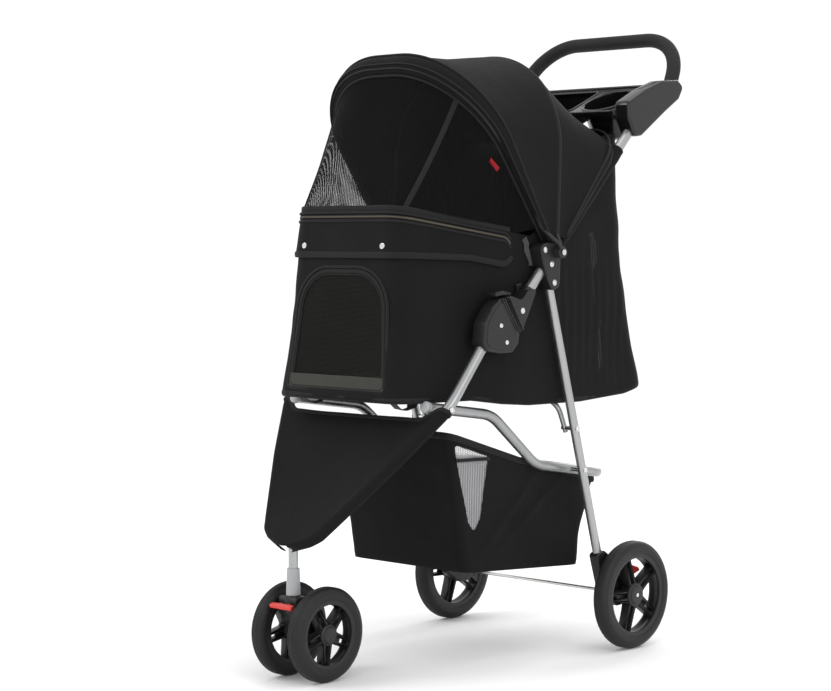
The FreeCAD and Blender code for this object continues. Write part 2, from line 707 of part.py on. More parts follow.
# ---------------------------------------------------------------- front leg
# One tube bent to a V, from both fold joints down to the caster stem.


def leg_plane(x, along):
    station, height = lower_line(along)
    return Vector(x, station, height)


V_POINTS = [(side_x, 166, 0), (side_x, 4, 110), (120, -106, 240), (44, -246, 44)]
v_left = [(leg_plane(x, along), radius) for x, along, radius in V_POINTS]
v_right = [(leg_plane(-x, along), radius) for x, along, radius in reversed(V_POINTS)]
front_tube = tube("front_leg", v_left + v_right, "main_tube_radius")
keep(front_tube, "front_leg_tube")

stem_y = cell("stem_station")
STEM_TOP, STEM_FOOT, PIN_FOOT = 212, 128, 96
stem_bar = rod("stem_bar", "stem_radius", Vector(0, stem_y, STEM_FOOT), Vector(0, stem_y, STEM_TOP))
stem_pin = disc("stem_pin", 4, Vector(0, stem_y, PIN_FOOT), Vector(0, stem_y, STEM_FOOT))
bend_bottom = lower_line(V_POINTS[-1][1])
saddle = disc("stem_saddle", cell("main_tube_radius") + 0.1, across(-20, *bend_bottom), across(20, *bend_bottom))
keep(cut("stem", fuse("stem", stem_bar, stem_pin), saddle), "caster_stem")

hinge_pins = []
for name, side in SIDES:
    hinge_pins.append(rod(f"hinge_pin_{name}", "pin_radius", across(side * joint_x, *HINGE_PIVOT),
                          across(side * (joint_x + joint_width), *HINGE_PIVOT)))
keep(group("fold_hinge_pins", hinge_pins), "fold_hinge_pins")

joint_face = joint_x + joint_width
lower_heads = rivet_heads("lower_joint_rivet", [lower_line(155), HINGE_PIVOT], joint_face)
# The seat pivot's rivet ends short of the seat tube, because the linkage is open there.
tube_face = side_x + cell("main_tube_radius")
lower_heads += rivet_heads("seat_rivet", [SEAT_PIVOT], tube_face)
keep(group("front_leg_rivets", lower_heads), "front_leg_rivets")

# The apron is a flat cloth panel over the front of the V.
APRON = [
    (152, -26, 6), (155, -5, 3), (176, -5, 4), (152, -62, 80), (130, -106, 120), (70, -217, 90), (52, -252, 30), (18, -270, 16),
]
apron_outline = [(x, along, radius) for x, along, radius in APRON]
apron_outline += [(-x, along, radius) for x, along, radius in reversed(APRON)]
apron = plate("apron", "XY_Plane", apron_outline, "apron_thickness", cell("main_tube_radius") + 0.5)
apron.Placement = Placement(Vector(0, *SEAT_PIVOT), Rotation(X_AXIS, math.degrees(LOWER_ANGLE)))
keep(apron, "apron")

# ---------------------------------------------------------------- caster
# A moulded fork turns on the stem's pin and carries the short front axle between the twin wheels.

FORK = [(-356, 126, 5), (-331, 126, 5), (-322, 104, 10), (-300, 84, 10), (-300, 56, 12), (-328, 54, 12), (-352, 90, 10)]
front_station, front_height = cell("front_axle_station"), cell("front_wheel_radius")
fork = side_plate("fork", FORK, "fork_width", -cell("fork_width") / 2, 1)
fork_bore = disc("fork_bore", 4 + cell("running_gap"), Vector(0, stem_y, PIN_FOOT - 1), Vector(0, stem_y, 140))
fork_axle = rod("fork_axle", "axle_radius", Vector(-40, front_station, front_height),
                Vector(40, front_station, front_height))
LOCK_PIVOT = (-358, 112)
lock_lug = disc("lock_lug", 3, Vector(-5, *LOCK_PIVOT), Vector(5, *LOCK_PIVOT))
lug_arm = Part.makeBox(10, 6, 5, Vector(-5, LOCK_PIVOT[0] + 0.5, LOCK_PIVOT[1] - 2.5))
arm = doc.addObject("Part::Feature", "lock_lug_arm")
arm.Shape = lug_arm
ear_rooms = []
for edge in (-1, 1):
    ear_rooms.append(disc(f"ear_room{edge + 2}", 5.4, Vector(edge * 5, *LOCK_PIVOT), Vector(edge * 10.6, *LOCK_PIVOT)))
body_of_fork = cut("fork_block", fork, *ear_rooms)
keep(cut("fork", fuse("fork", body_of_fork, lock_lug, arm), fork_bore, fork_axle), "caster_fork")
front_half = 50
keep(rod("front_axle", "axle_radius", Vector(-front_half, front_station, front_height),
         Vector(front_half, front_station, front_height)), "front_axle")

lock_outline = [(-370, 114, 2), (-362.2, 117, 1), (-362.2, 108, 1), (-369, 109, 2)]
lock_bar = side_plate("lock", lock_outline, "lock_width", -cell("lock_width") / 2, 1)
ears = []
for edge in (-1, 1):
    ear = disc(f"lock_ear{edge + 2}", 4.6, Vector(edge * 5.4, *LOCK_PIVOT), Vector(edge * 10, *LOCK_PIVOT))
    ears.append(ear)
keep(fuse("lock", lock_bar, *ears), "swivel_lock")

# ---------------------------------------------------------------- canopy
# Two sprung hoops on a common pivot carry the hood. The visor is netting between the front hoop and the band.


def hoop_plane(angle, x, distance):
    """A point of a hoop's plane, measured out from the canopy pivot."""
    turn = math.radians(angle)
    return Vector(x, CANOPY_PIVOT[0] + distance * math.cos(turn), CANOPY_PIVOT[1] + distance * math.sin(turn))


def hoop_arch(angle, base_x, half, top, corner):
    """Half an arch from its eye to the crown, and its mirror image."""
    run = [(base_x, 6, 0), (base_x, 15, 10), (half + 1, 44, 22), (half - 3, top, corner)]
    left = [(hoop_plane(angle, x, distance), radius) for x, distance, radius in run]
    right = [(Vector(-point.x, point.y, point.z), radius) for point, radius in reversed(left)]
    return left + right


HOOPS = {
    "mid_hoop": {"angle": 87.5, "eye": bracket_face + 0.5, "half": 169, "top": 292, "corner": 140},
    "front_hoop": {"angle": 123, "eye": bracket_face + 7, "half": 171, "top": 340, "corner": 150},
}
EYE_RADIUS, EYE_THICKNESS, WIRE_SHIFT = 9, 4, 3.2
for name, hoop in HOOPS.items():
    wire_x = hoop["eye"] + WIRE_SHIFT
    wire = tube(name, hoop_arch(hoop["angle"], wire_x, hoop["half"], hoop["top"], hoop["corner"]), "hoop_wire_radius")
    eyes, bores = [], []
    for side_name, side in SIDES:
        eyes.append(disc(f"{name}_eye_{side_name}", EYE_RADIUS, across(side * hoop["eye"], *CANOPY_PIVOT),
                         across(side * (hoop["eye"] + EYE_THICKNESS), *CANOPY_PIVOT)))
        bores.append(pin_bore(f"{name}_bore_{side_name}", CANOPY_PIVOT, side, 180, 200))
    keep(cut(name, fuse(name, wire, *eyes), *bores), name)

hoop_pins = []
for name, side in SIDES:
    tip = HOOPS["front_hoop"]["eye"] + EYE_THICKNESS + 0.5
    stalk = rod(f"hoop_stalk_{name}", "pin_radius", across(side * bracket_face, *CANOPY_PIVOT),
                across(side * tip, *CANOPY_PIVOT))
    head = rod(f"hoop_head_{name}", "rivet_head_radius", across(side * tip, *CANOPY_PIVOT),
               across(side * (tip + 2), *CANOPY_PIVOT))
    hoop_pins.append(fuse(f"hoop_pin_{name}", stalk, head))
keep(group("canopy_pins", hoop_pins), "canopy_pins")


def arch_wire(angle, half, top, corner, base):
    """A closed arch in a hoop's plane, used as a section of a hood panel."""
    corners = [(half, base, 0), (half, top, corner), (-half, top, corner), (-half, base, 0)]
    points = [(hoop_plane(angle, x, distance), radius) for x, distance, radius in corners]
    return Part.Wire([piece.toShape() for piece in rounded(points, closed=True)])


canopy_wall = cell("canopy_wall")
HOOD_BASE = 60


def hood_panel(first, second):
    """A cloth panel between two arches, each (angle, half width, top, corner)."""
    outer = Part.makeLoft([arch_wire(*first, HOOD_BASE), arch_wire(*second, HOOD_BASE)], True, True)
    inner_sections = []
    for angle, half, top, corner in (first, second):
        inner_sections.append(
            arch_wire(angle, half - canopy_wall, top - canopy_wall, corner - canopy_wall, HOOD_BASE - 12))
    return outer.cut(Part.makeLoft(inner_sections, True, True))


FRONT_ARCH = (122, 181, 352, 158)
MID_ARCH_FRONT = (88.2, 181, 303, 148)
MID_ARCH_REAR = (86.8, 181, 303, 148)
REAR_ARCH = (52, 182, 246, 60)
hood_front = doc.addObject("Part::Feature", "hood_front")
hood_front.Shape = hood_panel(FRONT_ARCH, MID_ARCH_FRONT)
keep(hood_front, "canopy_front")
hood_rear = doc.addObject("Part::Feature", "hood_rear")
hood_rear.Shape = hood_panel(MID_ARCH_REAR, REAR_ARCH)
keep(hood_rear, "canopy_rear")

# The visor runs from the front hoop's arch down to the rim of the band.
VISOR_STEPS = 9


def visor_arch(shrink):
    """Equally spaced points over the front arch, left to right."""
    half, top, corner = 166 - shrink, 333 - shrink, 150 - shrink
    points = [Vector(half, 60, 0)]
    for step in range(VISOR_STEPS):
        turn = math.pi / 2 * step / (VISOR_STEPS - 1)
        points.append(Vector(half - corner + corner * math.cos(turn), top - corner + corner * math.sin(turn), 0))
    points += [Vector(-point.x, point.y, 0) for point in reversed(points)]
    return [hoop_plane(125.5, point.x, point.y) for point in points]


def visor_rim(shrink):
    """As many points round the band's rim, on the plane just above it."""
    half, front_half, front = 151 - shrink, 106 - shrink, -231 + shrink
    plan = [Vector(half, -70, 0)]
    for step in range(VISOR_STEPS):
        share = step / (VISOR_STEPS - 1)
        if share < 0.6:
            along = share / 0.6
            plan.append(Vector(half + (front_half - half) * along, -84 + (front + 84) * along, 0))
        else:
            plan.append(Vector(front_half * (1 - (share - 0.6) / 0.5), front - 1, 0))
    plan += [Vector(-point.x, point.y, 0) for point in reversed(plan)]
    return [Vector(point.x, point.y, 662.5 - (point.y + 42) * 0.173) for point in plan]


def visor_block(shrink):
    wires = [Part.makePolygon(points + points[:1]) for points in (visor_arch(shrink), visor_rim(shrink))]
    return Part.makeLoft(wires, True, True)


visor = doc.addObject("Part::Feature", "visor")
visor.Shape = visor_block(0).cut(visor_block(2.5))
keep(visor, "visor_mesh")

# ---------------------------------------------------------------- finish
doc.recompute()
to_origin = Placement(Vector(0, -cell("middle_station"), 0), Rotation())
for part in PARTS:
    part.Placement = to_origin.multiply(part.Placement)
doc.recompute()

problems = []
for item in doc.Objects:
    if "Invalid" in item.State or "Error" in item.State:
        problems.append(f"{item.Label}: {item.State}")
for part in PARTS:
    if part.Shape.isNull() or not part.Shape.isValid() or not part.Shape.Solids:
        problems.append(f"{part.Label}: no valid solid")
if problems:
    raise RuntimeError("; ".join(problems))

os.makedirs("parts", exist_ok=True)
for part in PARTS:
    part.Shape.exportStep(os.path.join("parts", part.Label + ".step"))
print(len(PARTS), "nodes")
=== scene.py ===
import json
import math
import bmesh
import bpy
from mathutils import Matrix, Vector, noise


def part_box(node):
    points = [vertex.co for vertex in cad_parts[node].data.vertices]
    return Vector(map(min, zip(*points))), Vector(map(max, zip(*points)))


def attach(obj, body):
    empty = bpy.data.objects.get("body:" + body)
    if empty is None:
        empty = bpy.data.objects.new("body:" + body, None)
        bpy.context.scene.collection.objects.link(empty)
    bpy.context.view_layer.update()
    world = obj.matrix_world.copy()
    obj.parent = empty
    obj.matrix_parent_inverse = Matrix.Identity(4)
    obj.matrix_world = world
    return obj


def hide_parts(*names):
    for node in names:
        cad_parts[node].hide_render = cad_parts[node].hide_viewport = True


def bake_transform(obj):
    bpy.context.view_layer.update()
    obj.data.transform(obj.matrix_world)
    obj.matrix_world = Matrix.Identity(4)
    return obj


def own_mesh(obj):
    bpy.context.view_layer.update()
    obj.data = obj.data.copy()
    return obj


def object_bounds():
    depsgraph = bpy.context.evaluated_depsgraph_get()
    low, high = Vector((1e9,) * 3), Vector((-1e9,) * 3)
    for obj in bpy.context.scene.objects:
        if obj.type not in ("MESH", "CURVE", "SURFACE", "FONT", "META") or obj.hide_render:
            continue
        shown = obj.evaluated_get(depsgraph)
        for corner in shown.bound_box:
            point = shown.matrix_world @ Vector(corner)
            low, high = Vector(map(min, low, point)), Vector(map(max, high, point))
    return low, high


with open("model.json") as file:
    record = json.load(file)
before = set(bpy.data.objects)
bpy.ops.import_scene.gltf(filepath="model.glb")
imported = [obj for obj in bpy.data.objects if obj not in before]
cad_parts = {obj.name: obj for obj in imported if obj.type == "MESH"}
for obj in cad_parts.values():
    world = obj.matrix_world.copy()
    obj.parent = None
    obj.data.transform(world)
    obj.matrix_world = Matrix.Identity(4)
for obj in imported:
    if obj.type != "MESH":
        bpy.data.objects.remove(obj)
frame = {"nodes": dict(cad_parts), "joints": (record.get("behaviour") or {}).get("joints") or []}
cad_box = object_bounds()
nodes = frame["nodes"]
pivots = {joint["name"]: Vector(joint["pos_m"]) for joint in frame["joints"]}

# ---------------------------------------------------------------- studio
# A pale seamless floor and plain soft light: one large key from the front left, a fill from the
# right and a strip behind for the rims. None of it belongs to the stroller.

MM = 0.001


def link(piece):
    bpy.context.scene.collection.objects.link(piece)
    return piece


def mesh_piece(name, points, faces, smooth=True):
    """A new mesh object from points in the frame and faces of point numbers."""
    mesh = bpy.data.meshes.new(name)
    mesh.from_pydata([tuple(point) for point in points], [], faces)
    mesh.validate()
    mesh.polygons.foreach_set("use_smooth", [smooth] * len(mesh.polygons))
    return link(bpy.data.objects.new(name, mesh))


def blank_material(name, **settings):
    """A material with one Principled shader, whose plain settings are set on its own sockets."""
    material = bpy.data.materials.new(name)
    material.use_nodes = True
    shader = material.node_tree.nodes["Principled BSDF"]
    for socket, value in settings.items():
        shader.inputs[socket.replace("_", " ")].default_value = value
    return material, material.node_tree, shader


def add(tree, kind, **settings):
    node = tree.nodes.new(kind)
    for name, value in settings.items():
        if hasattr(node, name):
            setattr(node, name, value)
        else:
            node.inputs[name.replace("_", " ")].default_value = value
    return node


FLOOR_HALF, FLOOR_STEPS, FLOOR_GAP = 7.0, 24, 0.0006
floor_points, floor_faces = [], []
for row in range(FLOOR_STEPS + 1):
    for column in range(FLOOR_STEPS + 1):
        across = -FLOOR_HALF + 2 * FLOOR_HALF * column / FLOOR_STEPS
        back = -FLOOR_HALF + 2 * FLOOR_HALF * row / FLOOR_STEPS
        floor_points.append(Vector((across, back, cad_box[0].z - FLOOR_GAP)))
for row in range(FLOOR_STEPS):
    for column in range(FLOOR_STEPS):
        corner = row * (FLOOR_STEPS + 1) + column
        floor_faces.append((corner, corner + 1, corner + FLOOR_STEPS + 2, corner + FLOOR_STEPS + 1))
studio_floor = mesh_piece("studio_floor", floor_points, floor_faces)
floor_material, tree, shader = blank_material("studio_paper", Roughness=0.7, Specular_IOR_Level=0.15)
mottle = add(tree, "ShaderNodeTexNoise", Scale=3.0)
ramp = add(tree, "ShaderNodeValToRGB")
ramp.color_ramp.elements[0].color = (0.95, 0.95, 0.95, 1)
ramp.color_ramp.elements[1].color = (0.97, 0.97, 0.97, 1)
tree.links.new(mottle.outputs["Fac"], ramp.inputs["Fac"])
tree.links.new(ramp.outputs["Color"], shader.inputs["Base Color"])
studio_floor.data.materials.append(floor_material)

world = bpy.data.worlds.new("studio_sky")
world.use_nodes = True
world.node_tree.nodes["Background"].inputs["Color"].default_value = (1, 1, 1, 1)
world.node_tree.nodes["Background"].inputs["Strength"].default_value = 1.06
bpy.context.scene.world = world
bpy.context.scene.view_settings.view_transform = "Standard"

AIM = Vector((0, 0, 0.5))
for name, place, width, height, power in (
    ("key_light", (-1.6, -2.6, 2.7), 1.6, 1.2, 34),
    ("fill_light", (2.9, -0.6, 1.5), 1.4, 1.8, 16),
    ("top_light", (0.4, 0.6, 3.2), 1.8, 1.8, 18),
    ("back_strip", (-0.6, 2.8, 1.8), 0.5, 1.8, 16),
):
    lamp = bpy.data.lights.new(name, "AREA")
    lamp.shape = "RECTANGLE"
    lamp.size, lamp.size_y, lamp.energy = width, height, power
    holder = link(bpy.data.objects.new(name, lamp))
    holder.location = place
    holder.rotation_euler = (AIM - Vector(place)).to_track_quat("-Z", "Y").to_euler()

CAMERA_PLACE, CAMERA_WAY = Vector((2.3070, -2.4671, 0.6526)), Vector((-0.6960, 0.7162, -0.0511))
camera_data = bpy.data.cameras.new("front_quarter")
camera_data.sensor_width = 36
camera_data.lens = 93.2
camera = link(bpy.data.objects.new("front_quarter", camera_data))
camera.location = CAMERA_PLACE
camera.rotation_euler = CAMERA_WAY.to_track_quat("-Z", "Y").to_euler()
bpy.context.scene.camera = camera

# ---------------------------------------------------------------- silver tubes
# Bent steel tube in satin silver paint: seat tube, rear legs, upper tubes, push bar, front V, stem
# and the thin hoop under the floor. The paint has a fine flake.


def group_tree(name, inputs, outputs):
    """An empty node group with named sockets, and its two end nodes."""
    group = bpy.data.node_groups.new(name, "ShaderNodeTree")
    for label, kind, value in inputs:
        socket = group.interface.new_socket(name=label, in_out="INPUT", socket_type=kind)
        socket.default_value = value
    for label, kind in outputs:
        group.interface.new_socket(name=label, in_out="OUTPUT", socket_type=kind)
    return group, group.nodes.new("NodeGroupInput"), group.nodes.new("NodeGroupOutput")


def wire(tree, *pairs):
    for output, target in pairs:
        tree.links.new(output, target)


def calc(tree, operation, first, second=0.0):
    """A Math node. Each operand is a number or another node's output."""
    node = tree.nodes.new("ShaderNodeMath")
    node.operation = operation
    for socket, value in zip(node.inputs, (first, second)):
        if isinstance(value, (int, float)):
            socket.default_value = value
        else:
            tree.links.new(value, socket)
    return node.outputs[0]


def mix_colours(tree, share, first, second):
    node = tree.nodes.new("ShaderNodeMix")
    node.data_type = "RGBA"
    for socket, value in ((node.inputs[0], share), (node.inputs[6], first), (node.inputs[7], second)):
        if isinstance(value, (int, float, tuple)):
            socket.default_value = value
        else:
            tree.links.new(value, socket)
    return node.outputs[2]


def use_group(tree, group, **values):
    node = tree.nodes.new("ShaderNodeGroup")
    node.node_tree = group
    for label, value in values.items():
        node.inputs[label.replace("_", " ")].default_value = value
    return node


FLOAT, COLOUR = "NodeSocketFloat", "NodeSocketColor"

# Fine surface grain: two sizes of noise, given as a height and as a slow mottling mask.
surface_grain, ends_in, ends_out = group_tree(
    "surface_grain", [("Grain Scale", FLOAT, 900.0), ("Mottle Scale", FLOAT, 14.0)],
    [("Height", FLOAT), ("Mottle", FLOAT)])
place = add(surface_grain, "ShaderNodeTexCoord")
fine = add(surface_grain, "ShaderNodeTexNoise", Detail=3.0)
broad = add(surface_grain, "ShaderNodeTexNoise", Detail=4.0)
for spread, scale, result in ((fine, "Grain Scale", "Height"), (broad, "Mottle Scale", "Mottle")):
    wire(surface_grain, (place.outputs["Object"], spread.inputs["Vector"]),
         (ends_in.outputs[scale], spread.inputs["Scale"]), (spread.outputs["Fac"], ends_out.inputs[result]))

# Edge wear: outer corners turn to the worn colour, broken up by noise.
edge_wear, ends_in, ends_out = group_tree(
    "edge_wear",
    [("Colour", COLOUR, (0, 0, 0, 1)), ("Worn Colour", COLOUR, (1, 1, 1, 1)), ("Amount", FLOAT, 0.4)],
    [("Colour", COLOUR), ("Mask", FLOAT)])
shape = add(edge_wear, "ShaderNodeNewGeometry")
break_up = add(edge_wear, "ShaderNodeTexNoise", Scale=160.0, Detail=4.0)
sharp = calc(edge_wear, "MULTIPLY", calc(edge_wear, "SUBTRACT", shape.outputs["Pointiness"], 0.53), 9.0)
masked = calc(edge_wear, "MULTIPLY", sharp, break_up.outputs["Fac"])
clamped = edge_wear.nodes.new("ShaderNodeClamp")
wire(edge_wear, (calc(edge_wear, "MULTIPLY", masked, ends_in.outputs["Amount"]), clamped.inputs["Value"]))
worn = mix_colours(edge_wear, clamped.outputs[0], ends_in.outputs["Colour"], ends_in.outputs["Worn Colour"])
wire(edge_wear, (worn, ends_out.inputs["Colour"]), (clamped.outputs[0], ends_out.inputs["Mask"]))


def hard_material(name, colour, worn, roughness, spread, grain_scale, grain_depth, wear=0.4, **settings):
    """Paint, metal or plastic: a mottled colour, worn edges, uneven gloss and a fine grain."""
    material, tree, shader = blank_material(name, **settings)
    grain = use_group(tree, surface_grain, Grain_Scale=grain_scale)
    wear_node = use_group(tree, edge_wear, Worn_Colour=(*worn, 1), Amount=wear)
    darker = tuple(0.8 * value for value in colour)
    mottled = mix_colours(tree, grain.outputs["Mottle"], (*colour, 1), (*darker, 1))
    wire(tree, (mottled, wear_node.inputs["Colour"]), (wear_node.outputs["Colour"], shader.inputs["Base Color"]))
    gloss = calc(tree, "ADD", calc(tree, "MULTIPLY", grain.outputs["Mottle"], spread), roughness - spread / 2)
    bump = add(tree, "ShaderNodeBump", Strength=0.6, Distance=grain_depth * MM)
    wire(tree, (gloss, shader.inputs["Roughness"]), (grain.outputs["Height"], bump.inputs["Height"]),
         (bump.outputs["Normal"], shader.inputs["Normal"]))
    return material


def dress(name, material):
    """Give a carried-over node its finish."""
    for material_slot in nodes[name].material_slots:
        material_slot.material = material


silver_paint = hard_material("silver_paint", (0.36, 0.365, 0.37), (0.6, 0.6, 0.6), 0.34, 0.12, 2600, 0.03,
                             Metallic=0.9, Coat_Weight=0.25, Coat_Roughness=0.2)
SIDES = (("left", 1), ("right", -1))
for name in ("seat_tube", "rear_leg_left", "rear_leg_right", "upper_tube_left", "upper_tube_right",
             "handle_loop", "front_leg_tube", "caster_stem", "floor_support_hoop"):
    dress(name, silver_paint)

# ---------------------------------------------------------------- seat tube caps and stem collar
# Turned plastic pieces: a domed grey plug closes each end of the seat tube, and a clear grey bush
# sits where the stem enters the caster.

DATUM = pivots["rear_leg_fold"].y - 111 * MM


def at(x, station, height):
    """A point from its distance off the centre plane, its station and its height, in millimetres."""
    return Vector((x * MM, station * MM + DATUM, height * MM))


def turned(name, profile, centre, axis, steps=64):
    """A solid turned about an axis. The profile is (radius, distance along the axis) in millimetres."""
    axis = Vector(axis).normalized()
    side_way = axis.orthogonal().normalized()
    other_way = axis.cross(side_way)
    points, faces = [], []
    for radius, distance in profile:
        for step in range(steps):
            turn = 2 * math.pi * step / steps
            spoke = side_way * math.cos(turn) + other_way * math.sin(turn)
            points.append(centre + axis * distance * MM + spoke * max(radius, 0.01) * MM)
    for ring in range(len(profile) - 1):
        for step in range(steps):
            following = (step + 1) % steps
            faces.append((ring * steps + step, ring * steps + following, (ring + 1) * steps + following,
                          (ring + 1) * steps + step))
    return mesh_piece(name, points, faces)


def rounded_profile(corners, steps=5):
    """Corners (across, along, radius) with an arc at each, as a list of points. The ends stay sharp."""
    return [(point.x, point.y) for point in rounded_path([(Vector((a, b, 0)), r) for a, b, r in corners], steps)]


def rounded_path(corners, steps=8, closed=False):
    """Points along lines and tangent arcs through (corner, radius) pairs."""
    points = []
    count = len(corners)
    for index, (corner, radius) in enumerate(corners):
        at_end = not closed and index in (0, count - 1)
        if at_end or radius == 0:
            points.append(corner.copy())
            continue
        before = (corners[index - 1][0] - corner).normalized()
        after = (corners[(index + 1) % count][0] - corner).normalized()
        half = before.angle(after) / 2
        centre = corner + (before + after).normalized() * (radius / math.sin(half))
        first = corner + before * (radius / math.tan(half)) - centre
        last = corner + after * (radius / math.tan(half)) - centre
        for step in range(steps + 1):
            points.append(centre + first.slerp(last, step / steps) * radius)
    return points


def joined(name, pieces):
    """One object from several, in the order given."""
    builder = bmesh.new()
    for piece in pieces:
        builder.from_mesh(piece.data)
    mesh = bpy.data.meshes.new(name)
    builder.to_mesh(mesh)
    builder.free()
    for piece in pieces:
        bpy.data.objects.remove(piece)
    return link(bpy.data.objects.new(name, mesh))


def fit(piece, body, material, slot, *replaced):
    """Give a finished piece its material and body, and the nodes that it stands for. The slot is not used.
    A piece with no body is left without a parent."""
    piece.data.materials.clear()
    piece.data.materials.append(material)
    if body:
        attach(piece, body)
    if replaced:
        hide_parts(*replaced)
    return piece


grey_plastic = hard_material("grey_plastic", (0.36, 0.37, 0.38), (0.6, 0.6, 0.6), 0.38, 0.1, 1400, 0.02)
CAP_PROFILE = rounded_profile([(0, 8, 0), (9, 7.2, 3.5), (9, 0, 0), (8.4, -1, 0), (8.4, -3, 0)], 6)
STUB_BEND, STUB_END = (-66.5, 383), (-206, 402)
stub_way = (at(0, *STUB_END) - at(0, *STUB_BEND)).normalized()
caps = []
for side_name, side in SIDES:
    caps.append(turned(f"cap_{side_name}", CAP_PROFILE, at(side * 140, *STUB_END), stub_way, 40))
fit(joined("seat_tube_plugs", caps), "seat_frame", grey_plastic, "black_plastic", "seat_tube_caps")
collar_profile = rounded_profile([(7.2, 40, 0), (9.4, 40, 1.5), (10.6, 2, 1), (10.6, 0, 0), (7.2, 0, 0)])
stem_foot = Vector((0, pivots["caster_swivel"].y, 127 * MM))
fit(turned("stem_collar", collar_profile, stem_foot, (0, 0, 1)), "front_leg", grey_plastic, "black_plastic")

# ---------------------------------------------------------------- rivets and pins
# Bright plated rivets with domed heads, a thin washer under each. The pins inside stay as drawn.

plated_steel = hard_material("plated_steel", (0.72, 0.71, 0.69), (0.85, 0.85, 0.85), 0.2, 0.1, 1800, 0.01,
                             Metallic=1.0)
for name in ("rear_axle", "front_axle", "leg_pins", "leg_pivot_pins", "canopy_pins", "fold_hinge_pins"):
    dress(name, plated_steel)
HEAD_PROFILE = rounded_profile([(0, 2.5, 0), (2.8, 2.0, 1.6), (3.6, 0.8, 0.6), (3.6, 0.5, 0), (4.6, 0.5, 0.2),
                                (4.6, -0.4, 0)])


def rivets(name, body, face_x, places, *replaced):
    """Domed heads on both outer faces, one at each (station, height)."""
    heads = []
    for side_name, side in SIDES:
        for number, (station, height) in enumerate(places):
            heads.append(turned(f"{name}_{side_name}_{number}", HEAD_PROFILE, at(side * face_x, station, height),
                                (side, 0, 0), 28))
    return fit(joined(name, heads), body, plated_steel, "steel", *replaced)


UPPER_SLOPE, LOWER_SLOPE = math.radians(45.9), math.radians(50.64)
UPPER_FOOT, SEAT_PIVOT = (-48, 537.3), (-192, 399.5)
TUBE_OUT = 170


def upper_line(distance):
    """A place on the upper main tube, measured up from its lowest rivet."""
    return UPPER_FOOT[0] + distance * math.cos(UPPER_SLOPE), UPPER_FOOT[1] + distance * math.sin(UPPER_SLOPE)


def lower_line(distance):
    """A place on the lower main tube, measured up from the seat pivot."""
    return SEAT_PIVOT[0] + distance * math.cos(LOWER_SLOPE), SEAT_PIVOT[1] + distance * math.sin(LOWER_SLOPE)


def side_faces(name):
    """A left-hand node's inner and outer face, in millimetres off the centre plane."""
    return [corner.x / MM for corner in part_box(name)]


joint_face = side_faces("fold_joint_lower_left")[1]
bracket_face = side_faces("leg_bracket_left")[1]
rivets("joint_rivets_upper", "handle", joint_face, [upper_line(4)])
rivets("bracket_rivets", "handle", bracket_face, [(28, 581), upper_line(100), (7, 631)], "handle_rivets")
rivets("joint_rivets_lower", "front_leg", joint_face, [lower_line(155), (-81, 494)], "front_leg_rivets")
rivets("seat_pivot_rivets", "front_leg", 177.6, [SEAT_PIVOT])
rivets("leg_rivets", "rear_legs", 176.8, [(111, 288), (91.9, 354)])

# ---------------------------------------------------------------- moulded joints and brackets
# Injection-moulded black nylon: the two halves of each fold joint, the clevis that the rear leg and
# the hood hang on, the latch and the axle housings. Edges are rounded and the faces finely grained.


EDGE_STEPS = 4


def mend(piece, merge=0.0, fill=False, face_out=True):
    """Merge doubled points, close the open ends and turn the faces outward, as asked."""
    builder = bmesh.new()
    builder.from_mesh(piece.data)
    if merge:
        bmesh.ops.remove_doubles(builder, verts=builder.verts, dist=merge)
    if fill:
        bmesh.ops.holes_fill(builder, edges=[edge for edge in builder.edges if edge.is_boundary])
    if face_out:
        bmesh.ops.recalc_face_normals(builder, faces=builder.faces)
    builder.to_mesh(piece.data)
    builder.free()
    return piece


def moulding(name, outline, near, far, edge, side=1, turn=None, arc_steps=6):
    """A plate with rounded edges between its near and far faces. The outline is (station, height, radius)
    corners in side view."""
    flat = rounded_path([(Vector((a, b, 0)), r) for a, b, r in outline], arc_steps, closed=True)
    area = sum(p.x * q.y - q.x * p.y for p, q in zip(flat, flat[1:] + flat[:1]))
    if area < 0:
        flat.reverse()
    count = len(flat)
    inward = []
    for index, point in enumerate(flat):
        way = flat[(index + 1) % count] - flat[index - 1]
        inward.append(Vector((-way.y, way.x, 0)).normalized())
    layers = []
    for face, sign in ((near, 1), (far, -1)):
        part = [(edge * 1.35, face)]
        for step in range(EDGE_STEPS + 1):
            angle = math.pi / 2 * step / EDGE_STEPS
            part.append((edge * (1 - math.sin(angle)), face + sign * edge * (1 - math.cos(angle))))
        layers += part if sign > 0 else part[::-1]
    points, faces = [], []
    for inset, depth in layers:
        for point, way in zip(flat, inward):
            moved = point + way * inset
            points.append(at(side * depth, moved.x, moved.y))
    for layer in range(len(layers) - 1):
        for index in range(count):
            following = (index + 1) % count
            faces.append((layer * count + index, layer * count + following, (layer + 1) * count + following,
                          (layer + 1) * count + index))
    faces.append(tuple(range(count))[::-1])
    faces.append(tuple(range((len(layers) - 1) * count, len(layers) * count)))
    if turn:
        points = [turn @ point for point in points]
    return mend(mesh_piece(name, points, faces))


